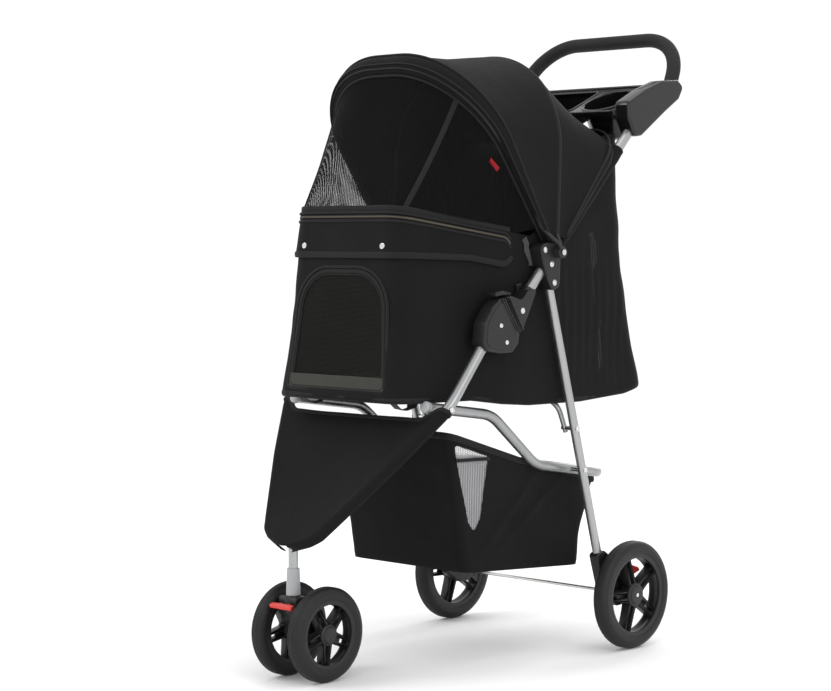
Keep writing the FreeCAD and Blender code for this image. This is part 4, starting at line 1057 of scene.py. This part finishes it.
TAB_LINE = [(-14, 648), (-11, 640), (-8, 631), (-4, 622), (0, 614), (4, 607)]
KEEPER = [(-34, 579, 2), (-22, 582, 2), (-17, 566, 2), (-29, 562, 2)]
for side_name, side in SIDES:
    spots = [on_side(side, station, height, 3.2) for station, height in TAB_LINE]
    side_tab = strap(f"side_tab_{side_name}", [point for point, _ in spots], [out for _, out in spots], 11, 1.2)
    fit(side_tab, "seat_frame", webbing, "black_fabric")
    face = abs(on_side(side, -26, 572)[0].x) / MM
    keeper = moulding(f"strap_keeper_{side_name}", KEEPER, face - 1, face + 5, 1.2, side)
    fit(keeper, "seat_frame", black_nylon, "black_plastic")
    crumple(CABIN_SETTLES, side_tab, keeper)

# ---------------------------------------------------------------- side zips
# A zip runs down each side behind the leg tube: a dark slit between two ribbed tapes, the cloth
# gathered a little beside it.

SIDE_ZIP = [(136, 722), (149, 646), (159, 552), (170, 408)]
for side_name, side in SIDES:
    zip_points = evenly([Vector((station, height, 0)) for station, height in SIDE_ZIP], 44)
    middle = [on_side(side, spot.x, spot.y, 0.4) for spot in zip_points]
    tapes = []
    for shift in (-4.6, 4.6):
        tape = [on_side(side, spot.x + shift, spot.y, 0.2) for spot in zip_points]
        tapes.append(strap(f"tape_{shift}", [point for point, _ in tape], [out for _, out in tape], 6.0, 1.0))
    side_tapes = fit(joined(f"side_zip_tape_{side_name}", tapes), "seat_frame", binding_tape, "black_fabric")
    path, out_ways = [point for point, _ in middle], [out for _, out in middle]
    side_zip = zip_teeth(f"side_zip_{side_name}", path, out_ways, 1.8, 2.6)
    fit(side_zip, "seat_frame", black_nylon, "black_plastic")
    crumple(CABIN_SETTLES, side_tapes, side_zip)

# ---------------------------------------------------------------- front door
# An arch of fine black netting with a strip of cloth along its foot, edged with double piping. It
# zips into the cabin's front wall and turns down on its foot.

door_netting = netting_material("door_netting", (0.009, 0.009, 0.008), 1.9, 0.62)
sill_cloth = cloth_material("sill_cloth", (0.022, 0.023, 0.019), 0.9, 0.2, Sheen_Weight=0.2)


def skin_patch(name, low_turn, high_turn, low, high, lift, thickness):
    """A closed slab that follows the cabin's wall."""
    rows = []
    for row in range(int((high - low) / 5) + 1):
        height = min(low + row * 5, high)
        halves = range(2 * (high_turn - low_turn) + 1)
        rows.append([skin(low_turn + half / 2, height, lift)[0] for half in halves])
    return thicken(sheet_from_rows(name, rows), thickness)


def keep_inside(piece, cutter):
    """Keep what lies inside the cutter, and remove the cutter."""
    knife = piece.modifiers.new("keep", "BOOLEAN")
    knife.operation, knife.solver, knife.object = "INTERSECT", "EXACT", cutter
    settle(piece)
    bpy.data.objects.remove(cutter)
    return piece


front_low, front_high = ROUND // 2 - 46, ROUND // 2 + 46
door_net = keep_inside(skin_patch("front_door_net", front_low, front_high, 418, 610, -1.2, 0.6),
                       prism("door_shape", outline_2d(DOOR, -1.0), across_wall, -300, -200))
fit(door_net, "front_door", door_netting, "black_netting", "front_door")
foot_strip = [(101, 425, 2), (100, 445, 2), (-100, 445, 2), (-101, 425, 2)]
door_foot = keep_inside(skin_patch("front_door_foot", front_low, front_high, 418, 610, 0.6, 1.4),
                        prism("foot_shape", outline_2d(foot_strip), across_wall, -300, -200))
fit(door_foot, "front_door", sill_cloth, "black_fabric")
door_edges = []
for number, (grow, lift, half_out, half_wide) in enumerate(((-3.4, 0.4, 1.7, 3.2), (-8.4, 0.2, 1.2, 1.2))):
    path, out_ways = doorway(DOOR, grow, lift, FRONT_WALL, 150)
    door_edges.append(sweep(f"edge_{number}", path, ellipse(half_out, half_wide), closed=True, outward=out_ways))
door_piping = fit(joined("front_door_piping", door_edges), "front_door", binding_tape, "black_fabric")
path, out_ways = doorway(DOOR, 3.4, 0.6, FRONT_WALL, 150)
doorway_edge = sweep("doorway_piping", path, ellipse(1.8, 2.6), closed=True, outward=out_ways)
fit(doorway_edge, "seat_frame", binding_tape, "black_fabric")
crumple(CABIN_SETTLES, door_net, door_foot, door_piping, doorway_edge)

# ---------------------------------------------------------------- rear door
# A tall flap of the cabin cloth between two zips, hinged along its foot, with a cord pull.

door_patch = skin_patch("rear_wall_patch", -40, 40, 430, 778, 0.2, 2.0)
rear_flap = keep_inside(door_patch, prism("flap_shape", outline_2d(REAR_DOOR, -1.0), across_wall, 200, 320))
fit(rear_flap, "rear_door", black_oxford, "black_fabric", "rear_door")
path, out_ways = doorway(REAR_DOOR, -4.2, 0.8, REAR_WALL, 200)
flap_tape = sweep("rear_door_tape", path, ellipse(1.4, 3.4), closed=True, outward=out_ways)
fit(flap_tape, "rear_door", binding_tape, "black_fabric")
path, out_ways = doorway(REAR_DOOR, 0.4, 1.2, REAR_WALL, 200)
flap_zip = fit(zip_teeth("rear_door_zip", path, out_ways, 1.8, 2.4), "rear_door", black_nylon, "black_plastic")
path, out_ways = doorway(REAR_DOOR, 4.4, 0.8, REAR_WALL, 200)
doorway_tape = sweep("rear_doorway_tape", path, ellipse(1.4, 3.2), closed=True, outward=out_ways)
fit(doorway_tape, "seat_frame", binding_tape, "black_fabric")
crumple(CABIN_SETTLES, rear_flap, flap_tape, flap_zip, doorway_tape)

# ---------------------------------------------------------------- hood
# Two panels of the cabin cloth on sprung hoops: a front panel between the hoops and a rear panel
# from the middle hoop back to the upper tubes. Each hoop runs in a sewn sleeve, so it is dark.

hoop_sleeve = hard_material("hoop_sleeve", (0.012, 0.012, 0.013), (0.04, 0.04, 0.04), 0.6, 0.1, 900, 0.06, 0.2)
dress("mid_hoop", hoop_sleeve)
dress("front_hoop", hoop_sleeve)
HOOD_COLUMNS, HOOD_PIVOT = 121, (35, 627)


def hood_point(angle, x, distance):
    """A point in the plane of a hoop, measured from the hoops' pivot."""
    turn = math.radians(angle)
    return at(x, HOOD_PIVOT[0] + distance * math.cos(turn), HOOD_PIVOT[1] + distance * math.sin(turn))


def arch(angle, half, top, corner, start, columns=HOOD_COLUMNS):
    """Points over an arch at an angle: its half width, top distance, corner radius and start distance."""
    corners = [((half, start), 0), ((half, top), corner), ((-half, top), corner), ((-half, start), 0)]
    path = rounded_path([(Vector((a, b, 0)), radius) for (a, b), radius in corners], 24)
    return [hood_point(angle, spot.x, spot.y) for spot in evenly(path, columns)]


PIVOT_LINE = at(0, *HOOD_PIVOT)


def outward_from_pivot(point):
    return Vector((point.x * 0.6, point.y - PIVOT_LINE.y, point.z - PIVOT_LINE.z)).normalized()


def hood_cloth(name, first, last, sag, steps=26):
    """Cloth between two arches, drawn in a little midway and softly creased."""
    rows = []
    for row in range(steps + 1):
        share = row / steps
        level = []
        for column, (a, b) in enumerate(zip(first, last)):
            point = a.lerp(b, share)
            slack = math.sin(math.pi * share) * math.sin(math.pi * column / (len(first) - 1)) ** 0.4
            out = outward_from_pivot(point)
            level.append(point + out * (rumple(point, 75, 1.5) * slack - sag * MM * slack))
        rows.append(level)
    return thicken(sheet_from_rows(name, rows), 1.6)


FRONT_ARCH, MID_ARCH, REAR_ARCH = (122, 179, 345.5, 156), (87.5, 181, 303, 148), (47.5, 182, 242, 60)
front_cloth = hood_cloth("hood_front", arch(*FRONT_ARCH, 22), arch(88.0, *MID_ARCH[1:], 22), 3)
fit(front_cloth, None, black_oxford, "black_fabric", "canopy_front")
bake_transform(front_cloth)
rear_cloth = hood_cloth("hood_rear", arch(87.0, *MID_ARCH[1:], 22), arch(*REAR_ARCH, 30), 6)
fit(rear_cloth, None, black_oxford, "black_fabric", "canopy_rear")
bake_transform(rear_cloth)


def hoop_ways(path):
    return [outward_from_pivot(point) for point in path]


seam_path = arch(MID_ARCH[0], 181.6, 303.8, 148, 22)
mid_seam = sweep("hood_mid_seam", seam_path, ellipse(1.5, 4.2), outward=hoop_ways(seam_path))
fit(mid_seam, "mid_hoop", binding_tape, "black_fabric")

# The front edge: a cuff of cloth turned over the front hoop, piped on both edges, with a dark zip
# line between that holds the netting.
CUFF_ARCHES = [(121.4, 180, 346.6, 156), (122.8, 180.8, 347.4, 156), (124.2, 178, 345, 154),
               (125.4, 171.5, 338, 150), (126.0, 164, 329, 146)]
EDGE_CORDS = [((121.2, 180.6, 347.2, 156), 1.9, 1.9), ((126.2, 164, 329, 146), 2.0, 2.0),
              ((124.6, 177, 344, 153), 1.0, 1.4)]
cuff = thicken(sheet_from_rows("hood_cuff", [arch(*shape, 16) for shape in CUFF_ARCHES]), 1.2)
fit(cuff, "front_hoop", black_oxford, "black_fabric")
edge_cords = []
for number, (shape, half_out, half_wide) in enumerate(EDGE_CORDS):
    path = arch(*shape, 18)
    edge_cords.append(sweep(f"cord_{number}", path, ellipse(half_out, half_wide), outward=hoop_ways(path)))
hood_piping = joined("hood_piping", edge_cords)
fit(hood_piping, "front_hoop", binding_tape, "black_fabric")
path = arch(125.6, 172, 339, 150, 40)
hood_zip = zip_teeth("hood_zip", path, [Vector((0, -0.8, 0.6))] * len(path), 1.8, 2.2)
fit(hood_zip, "front_hoop", black_nylon, "black_plastic")

# The rear hem: two rows of stitching tape that wrap the upper tubes.
for number, (angle, half, top) in enumerate(((47.9, 182.8, 242.6), (51.2, 182.8, 247.5))):
    path = arch(angle, half, top, 62, 34)
    hem_line = sweep(f"hood_rear_hem_{number}", path, ellipse(1.1, 2.4), outward=hoop_ways(path))
    fit(hem_line, "handle", binding_tape, "black_fabric")

# The hood's rear edge is a sleeve round each upper tube, from the bracket up to just short of the tray.
SLEEVE_TURNS, SLEEVE_RADIUS = 28, 10.6
for side_name, side in SIDES:
    spots = [at(side * TUBE_OUT, *upper_line(distance)) for distance in range(138, 349, 5)]
    first_way = Vector((1, 0, 0))
    second_way = (spots[1] - spots[0]).normalized().cross(first_way)
    rows = []
    for spot in spots:
        level = []
        for step in range(SLEEVE_TURNS):
            turn = 2 * math.pi * step / SLEEVE_TURNS
            way = first_way * math.cos(turn) + second_way * math.sin(turn)
            point = spot + way * SLEEVE_RADIUS * MM
            level.append(point + way * rumple(point, 26, 1.0))
        rows.append(level)
    sleeve = thicken(sheet_from_rows(f"tube_sleeve_{side_name}", rows, closed=True), 1.4)
    fit(sleeve, "handle", black_oxford, "black_fabric")

# ---------------------------------------------------------------- visor
# Fine black netting from the front hoop down to the band's zip, seen through from the side. Its foot
# is a taped edge and a seam runs up from each front corner.

visor_net = netting_material("visor_netting", (0.006, 0.006, 0.006), 1.8, 0.42)
visor_top = arch(125.7, 165, 330, 147, 44)
visor_foot, visor_ways = [], []
for column in range(HOOD_COLUMNS):
    turn = first_turn + (last_turn - first_turn) * column / (HOOD_COLUMNS - 1)
    height = edge_height(BAND_TOP, turn, 670)
    point, out = skin(turn, height + 1, 1.4)
    visor_foot.append(point)
    visor_ways.append(out)
VISOR_ROWS = 24
rows = []
for row in range(VISOR_ROWS + 1):
    share = row / VISOR_ROWS
    level = []
    for column, (a, b) in enumerate(zip(visor_top, visor_foot)):
        point = a.lerp(b, share)
        slack = math.sin(math.pi * share) * math.sin(math.pi * column / (HOOD_COLUMNS - 1))
        level.append(point + Vector((0, 1, 0)) * (5 * slack + 1.4 * noise.noise(point / (50 * MM)) * slack) * MM)
    rows.append(level)
visor = thicken(sheet_from_rows("visor", rows), 0.5)
fit(visor, "front_hoop", visor_net, "black_netting", "visor_mesh")
foot_line = [point + Vector((0, 0, 5 * MM)) for point in visor_foot]
visor_trim = [sweep("foot", foot_line, ellipse(1.1, 6.0), outward=visor_ways)]
corner_share = (turn_across(104, 690, *FRONT_WALL) - first_turn) / (last_turn - first_turn)
corner_column = round(corner_share * (HOOD_COLUMNS - 1))
for column in (corner_column, HOOD_COLUMNS - 1 - corner_column):
    seam = [level[column] for level in rows]
    visor_trim.append(sweep("seam", seam, ellipse(1.0, 4.0), outward=[visor_ways[column]] * len(seam)))
visor_trim = joined("visor_trim", visor_trim)
fit(visor_trim, "front_hoop", binding_tape, "black_fabric")
turn = math.radians(125.5)
for piece in (visor, visor_trim):
    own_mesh(piece)

red_tape = cloth_material("red_tape", (0.28, 0.010, 0.016), 0.8, 0.15, dust=0.05, Sheen_Weight=0.1)
tab_corners = [hood_point(132.5, x, distance) for x, distance in ((163, 190), (168, 170), (159, 164), (154, 182))]
tab = thicken(mesh_piece("red_tab", tab_corners, [(0, 1, 2, 3)], smooth=False), 1.0)
fit(tab, "front_hoop", red_tape, "red_plastic")

# ---------------------------------------------------------------- apron
# A smooth cloth panel over the front of the V, sewn round both tubes as sleeves and gathered to a
# collar at the stem.

V_POINTS = [(170, 166, 0), (170, 4, 110), (120, -106, 240), (44, -246, 44), (-44, -246, 44)]
v_path = rounded_path([(Vector((x, down, 0)), radius) for x, down, radius in V_POINTS], 16)
v_table = [(-262, 3), (-258, 13), (-250, 34), (-238, 50), (-219, 60.5)]
v_table += sorted((spot.y, spot.x) for spot in v_path if spot.y > -210 and spot.x > 0)


def leg_point(x, down, off):
    """A point by its distance off the centre plane, along the front leg and off it to the front."""
    station, height = lower_line(down)
    return at(x, station - off * math.sin(LOWER_SLOPE), height + off * math.cos(LOWER_SLOPE))


leg_front = (leg_point(0, 0, 1) - leg_point(0, 0, 0)).normalized()
APRON_ROWS, APRON_COLUMNS, SLEEVE = 60, 60, 9.6
rows = []
for row in range(APRON_ROWS + 1):
    down = -6 - 256 * row / APRON_ROWS
    tube_x = along(v_table, max(down, -262))
    hollow = 5.0 * min(max((down + 225) / 50, 0), 1)
    level = []
    for side in (1, -1):
        part = []
        for step in range(13):
            turn = math.radians(-70 + 160 * step / 12)
            part.append((side * (tube_x + 1.14 * SLEEVE * math.cos(turn)), SLEEVE * math.sin(turn)))
        level += part if side > 0 else part[::-1]
        if side > 0:
            for step in range(1, APRON_COLUMNS):
                x = tube_x * (1 - 2 * step / APRON_COLUMNS)
                level.append((x, SLEEVE - hollow * math.sin(math.pi * step / APRON_COLUMNS) ** 0.7))
    placed = []
    for x, off in level:
        inner = min(max((tube_x - abs(x)) / 34, 0), 1)
        shift = -20 * (inner * inner * (3 - 2 * inner)) * max(0, 1 - row / 22) ** 2
        point = leg_point(x, down + shift, off)
        placed.append(point + leg_front * rumple(point, 85, 1.5) * min(inner * 2, 1))
    rows.append(placed)
apron = thicken(sheet_from_rows("apron_cloth", rows), 1.8)
fit(apron, "front_leg", black_oxford, "black_fabric", "apron")
top_edge = rows[0]
apron_trim = [sweep("top", top_edge, ellipse(1.6, 3.4), outward=[leg_front] * len(top_edge))]
collar_top = Vector((0, stem_foot.y, 212 * MM))
COLLAR = rounded_profile([(7.3, 2, 0), (10.2, 2, 1.5), (10.6, -9, 2), (9.4, -15, 1.5), (7.3, -15, 0)])
apron_trim.append(turned("collar", COLLAR, collar_top, (0, 0, 1), 40))
apron_trim = joined("apron_trim", apron_trim)
fit(apron_trim, "front_leg", binding_tape, "black_fabric")

# ---------------------------------------------------------------- parent tray
# One piece of polished black plastic across the handle: two cup wells with raised rings, a shallow
# middle well, a rolled rim and a cheek at each end that grips the tubes.

tray_gloss = hard_material("tray_gloss", (0.007, 0.007, 0.0075), (0.04, 0.04, 0.04), 0.2, 0.08, 1600, 0.006, 0.3,
                           Coat_Weight=0.15, Coat_Roughness=0.06, Specular_IOR_Level=0.35)
TRAY_SLOPE = math.radians(24)


def tray_point(x, v, w):
    """A point on the tilted tray: off the centre plane, up its slope, off its face."""
    return at(x, 250 + v * math.cos(TRAY_SLOPE) - w * math.sin(TRAY_SLOPE),
              868 + v * math.sin(TRAY_SLOPE) + w * math.cos(TRAY_SLOPE))


tray_up = (tray_point(0, 0, 1) - tray_point(0, 0, 0)).normalized()
PLATE = [(158, -50, 14), (158, 62, 14), (-158, 62, 14), (-158, -50, 14)]
WELL = [(54, -38, 10), (54, 46, 10), (-54, 46, 10), (-54, -38, 10)]
plate_top = prism("plate", outline_2d(PLATE), tray_point, -7, 0)
cup_cutters = [turned("cut", [(0, -12), (42.5, -12), (42.5, 8), (0, 8)], tray_point(side * 108, 0, 0), tray_up, 72)
               for _, side in SIDES]
cut_with(plate_top, prism("cut", outline_2d(WELL), tray_point, -12, 8), *cup_cutters)
tray_pieces = [plate_top]
CUP = rounded_profile([(46.8, -1, 0), (46.4, 2.0, 1), (43.4, 2.8, 1.2), (41.2, 1.0, 1.6), (39.5, -48, 3),
                       (34, -52.6, 4), (0, -52.6, 0)], 6) + [(0, -55), (36, -55), (42, -49), (43.4, -1)]
for _, side in SIDES:
    tray_pieces.append(turned("cup", CUP, tray_point(side * 108, 0, 0), tray_up, 72))
well = prism("well", outline_2d(WELL, 3), tray_point, -30, -0.5)
cut_with(well, prism("cut", outline_2d(WELL), tray_point, -27, 8))
tray_pieces.append(well)
rim_path = evenly([tray_point(a, b, 0.4) for a, b in outline_2d(PLATE)], 180, closed=True)
tray_pieces.append(sweep("rim", rim_path, ellipse(2.6, 2.4), closed=True, outward=[tray_up] * len(rim_path)))
well_path = evenly([tray_point(a, b, 0.3) for a, b in outline_2d(WELL, 1.2)], 140, closed=True)
well_ways = [tray_up] * len(well_path)
tray_pieces.append(sweep("well_rim", well_path, ellipse(1.5, 1.8), closed=True, outward=well_ways))
CHEEK = [(205, 836, 8), (222, 808, 10), (240, 810, 10), (300, 850, 20), (336, 872, 10), (348, 892, 8),
         (334, 903, 8), (292, 900, 20), (248, 884, 20), (203, 862, 10)]
for _, side in SIDES:
    tray_pieces.append(moulding("cheek", CHEEK, 156, 184, 4.0, side))
tray = joined("tray", tray_pieces)
bevel = tray.modifiers.new("edges", "BEVEL")
bevel.width, bevel.segments, bevel.limit_method, bevel.angle_limit = 0.8 * MM, 2, "ANGLE", math.radians(50)
fit(settle(tray), "handle", tray_gloss, "gloss_plastic", "parent_tray")

# ---------------------------------------------------------------- push bar grip
# A closed-cell foam sleeve pulled over the bent bar, with a narrow clip band at each end.

foam_skin = hard_material("foam_skin", (0.009, 0.009, 0.0095), (0.05, 0.05, 0.05), 0.72, 0.12, 2200, 0.25, 0.2,
                          Specular_IOR_Level=0.3)
LOOP_SLOPE = math.radians(59.6)


def loop_point(x, down):
    return at(x, 388 - down * math.cos(LOOP_SLOPE), 976 - down * math.sin(LOOP_SLOPE))


def loop_path(end_down, count):
    end_x = 147 + 0.145 * end_down
    corners = [(end_x, end_down, 0), (147, 0, 84), (-147, 0, 84), (-end_x, end_down, 0)]
    return evenly(rounded_path([(loop_point(x, down), radius * MM) for x, down, radius in corners], 24), count)


grip_path = loop_path(98, 170)
grip_way = loop_point(0, 0) - loop_point(0, 1)
grip_normal = Vector((0, grip_way.z, -grip_way.y)).normalized()
foam = sweep("foam_sleeve", grip_path, ellipse(11.5, 11.5, 40), outward=[grip_normal] * len(grip_path))
fit(foam, "handle", foam_skin, "foam", "foam_grip")
bands = []
for ends in (grip_path[:4], grip_path[-4:]):
    bands.append(sweep("band", ends, ellipse(12.3, 12.3, 40), outward=[grip_normal] * len(ends)))
fit(joined("grip_bands", bands), "handle", black_nylon, "black_plastic")

# ---------------------------------------------------------------- basket
# A bag of the cabin cloth hung from the low frame, its rim bound and sloping to the rear. Each side
# has a netting window toward the front, and the cloth pulls into creases from its corners.

BASKET_RIM = [(-148, 356), (5, 309), (56, 299), (200, 262)]
BASKET_TURNS, BASKET_ROWS, BASKET_SETTLES = 240, 40, 0.36


def basket_ring(drop, lift=0.0):
    """Points round the bag from the rear centre, each with its way out. drop runs from 0 at the rim to 1."""
    half, rear, front = 131 - 7 * drop, 200 - 33 * drop, -148 + 42 * drop
    corners = [((0, rear), 0), ((half, rear), 24), ((half, front), 18), ((-half, front), 18), ((-half, rear), 24)]
    ring = rounded_path([(Vector((x, station, 0)), radius) for (x, station), radius in corners], 8, closed=True)
    spots = evenly(ring, BASKET_TURNS, closed=True)
    placed = []
    for turn, here in enumerate(spots):
        way = spots[(turn + 1) % BASKET_TURNS] - spots[turn - 1]
        out = Vector((way.y, -way.x, 0)).normalized()
        if out.dot(here) < 0:
            out = -out
        high = along(BASKET_RIM, here.y)
        low = 146 - 16 * min(max((here.y + 106) / 273, 0), 1)
        placed.append((at(here.x + out.x * lift, here.y + out.y * lift, high + (low - high) * drop), out))
    return placed


rows = []
for row in range(BASKET_ROWS + 1):
    drop = row / BASKET_ROWS
    level = []
    for point, out in basket_ring(drop):
        station, height = station_of(point), point.z / MM
        slack = math.sin(math.pi * min(drop * 1.05, 1)) ** 0.8
        pull = math.sin((station * 0.8 + height * 1.1) / 19) * 1.6 * max(0, min((station + 60) / 60, 1))
        front_pull = math.sin((point.x / MM * 0.6 - height) / 30) * 1.2 * (1 if station < -100 else 0)
        if abs(point.x) / MM > 110:
            for start_station, foot_station, raised in ((52, -72, 4.0), (128, -40, 3.0)):
                crease = start_station + (foot_station - start_station) * (290 - height) / 125
                pull += raised * math.exp(-((station - crease) / 11) ** 2)
        level.append(point + out * ((pull + front_pull - 4.5) * MM * slack + rumple(point, 70, 2.4) * slack))
    rows.append(level)
bag_walls = sheet_from_rows("bag_walls", rows, closed=True)
foot_rows = [rows[-1]]
base_middle = at(0, 30, 138)
for share in (0.985, 0.94, 0.8, 0.6, 0.4, 0.2, 0.03):
    level = []
    for point in rows[-1]:
        inner = base_middle.lerp(point, share)
        sag = rumple(inner, 60, 1.6) * (1 - share) - 5 * MM * math.sqrt(1 - share)
        level.append(inner + Vector((0, 0, sag)))
    foot_rows.append(level)
bag_foot = sheet_from_rows("bag_foot", foot_rows, closed=True)
bag = joined("basket_cloth", [bag_walls, bag_foot])
thicken(mend(bag, 1e-5), 1.8)
net_bag = link(bag.copy())
net_bag.data = bag.data.copy()
WINDOW = [(-134, 341, 3), (-62, 319, 4), (-63, 300, 5), (-72, 226, 5), (-84, 206, 5), (-98, 222, 5),
          (-129, 322, 4)]


def side_plane(a, b, depth):
    return at(depth, a, b)


net_sides = []
for low in (60, -180):
    cut_with(bag, prism("window", outline_2d(WINDOW), side_plane, low, low + 120))
    net_shape = prism("window", outline_2d(WINDOW, 1), side_plane, low, low + 120)
    net_sides.append(keep_inside(link(net_bag.copy()), net_shape))
bpy.data.objects.remove(net_bag)
fit(bag, "seat_frame", black_oxford, "black_fabric", "basket")
basket_netting = netting_material("basket_netting", (0.3, 0.3, 0.31), 2.4, 0.38)
netting_windows = joined("basket_windows", net_sides)
fit(netting_windows, "seat_frame", basket_netting, "black_netting")
strips = []
for _, side in SIDES:
    path = [at(side * 130.6, station, 318 - 0.03 * (station + 134)) for station in range(-132, -58, 6)]
    strips.append(sweep("strip", path, ellipse(1.0, 2.6), outward=[Vector((side, 0, 0))] * len(path)))
window_strips = joined("basket_window_strips", strips)
fit(window_strips, "seat_frame", binding_tape, "black_fabric")
rim_spots = basket_ring(0.0, 0.4)
basket_binding = sweep("basket_binding", [point for point, _ in rim_spots], ellipse(2.0, 5.0), closed=True,
                       outward=[out for _, out in rim_spots])
fit(basket_binding, "seat_frame", binding_tape, "black_fabric")
crumple(BASKET_SETTLES, bag, netting_windows, window_strips, basket_binding)

# ---------------------------------------------------------------- floor pad
# A thin quilted pad of olive-grey cloth, stuffed with fibre, laid on the stiff black floor board. Its
# edge is piped, and it swells a little between its seams.

board_black = hard_material("board_black", (0.02, 0.02, 0.021), (0.06, 0.06, 0.06), 0.6, 0.1, 1000, 0.05, 0.3)
dress("floor_board", board_black)
pad_cloth = cloth_material("pad_cloth", (0.05, 0.052, 0.046), 1.0, 0.2, Sheen_Weight=0.25)
PAD = [(141.6, 245, 30), (141.6, -47, 145), (114.5, -233, 26), (-114.5, -233, 26), (-141.6, -47, 145),
       (-141.6, 245, 30)]
PAD_FOOT, PAD_TOP, PAD_SWELL = 420.6, 438.0, 5 * MM
pad = prism("floor_pad", outline_2d(PAD, -5), at, PAD_FOOT + 1, PAD_TOP - 5)
remesh = pad.modifiers.new("even", "REMESH")
remesh.mode, remesh.voxel_size = "VOXEL", 6 * MM
settle(pad)
start = [vertex.co.copy() for vertex in pad.data.vertices]
cloth = pad.modifiers.new("fill", "CLOTH")
cloth.settings.use_pressure = True
cloth.settings.uniform_pressure_force = 4
cloth.settings.effector_weights.gravity = 0
cloth.settings.quality = 4
for step in range(1, 21):
    bpy.context.scene.frame_set(step)
settle(pad)
bpy.context.scene.frame_set(1)
for vertex, before in zip(pad.data.vertices, start):
    moved = vertex.co - before
    if moved.length > PAD_SWELL:
        moved = moved.normalized() * PAD_SWELL
    vertex.co = before + moved
for vertex in pad.data.vertices:
    vertex.co.z = min(max(vertex.co.z, PAD_FOOT * MM), (PAD_TOP + 1.5) * MM)
smooth_pad = pad.modifiers.new("smooth", "SUBSURF")
smooth_pad.levels = 1
settle(pad)
pad.data.polygons.foreach_set("use_smooth", [True] * len(pad.data.polygons))
fit(pad, "seat_frame", pad_cloth, "cushion_fabric", "floor_cushion")
pad_edge = evenly([at(a, b, PAD_FOOT + 8) for a, b in outline_2d(PAD, -1.5)], 260, closed=True)
pad_piping = sweep("pad_piping", pad_edge, ellipse(2.0, 2.0, 10), closed=True)
fit(pad_piping, "seat_frame", binding_tape, "cushion_fabric")
crumple(CABIN_SETTLES, pad, pad_piping)

# ---------------------------------------------------------------- straps under the cabin
# Two dark webbing loops under the cabin's front hold it to the seat tube's stubs.

STRAP_LINE = [(96, -236, 416), (97, -232, 406), (98, -224, 399), (98, -210, 396), (98, -196, 399),
              (97, -190, 407), (96, -188, 416)]
under_straps = []
for _, side in SIDES:
    path = evenly([at(side * x, station, height) for x, station, height in STRAP_LINE], 30)
    under_straps.append(sweep("loop", path, ellipse(0.9, 8), outward=[Vector((0, -0.4, -1))] * len(path)))
under_straps = joined("front_straps", under_straps)
fit(under_straps, "seat_frame", webbing, "black_fabric")
crumple(CABIN_SETTLES, under_straps)
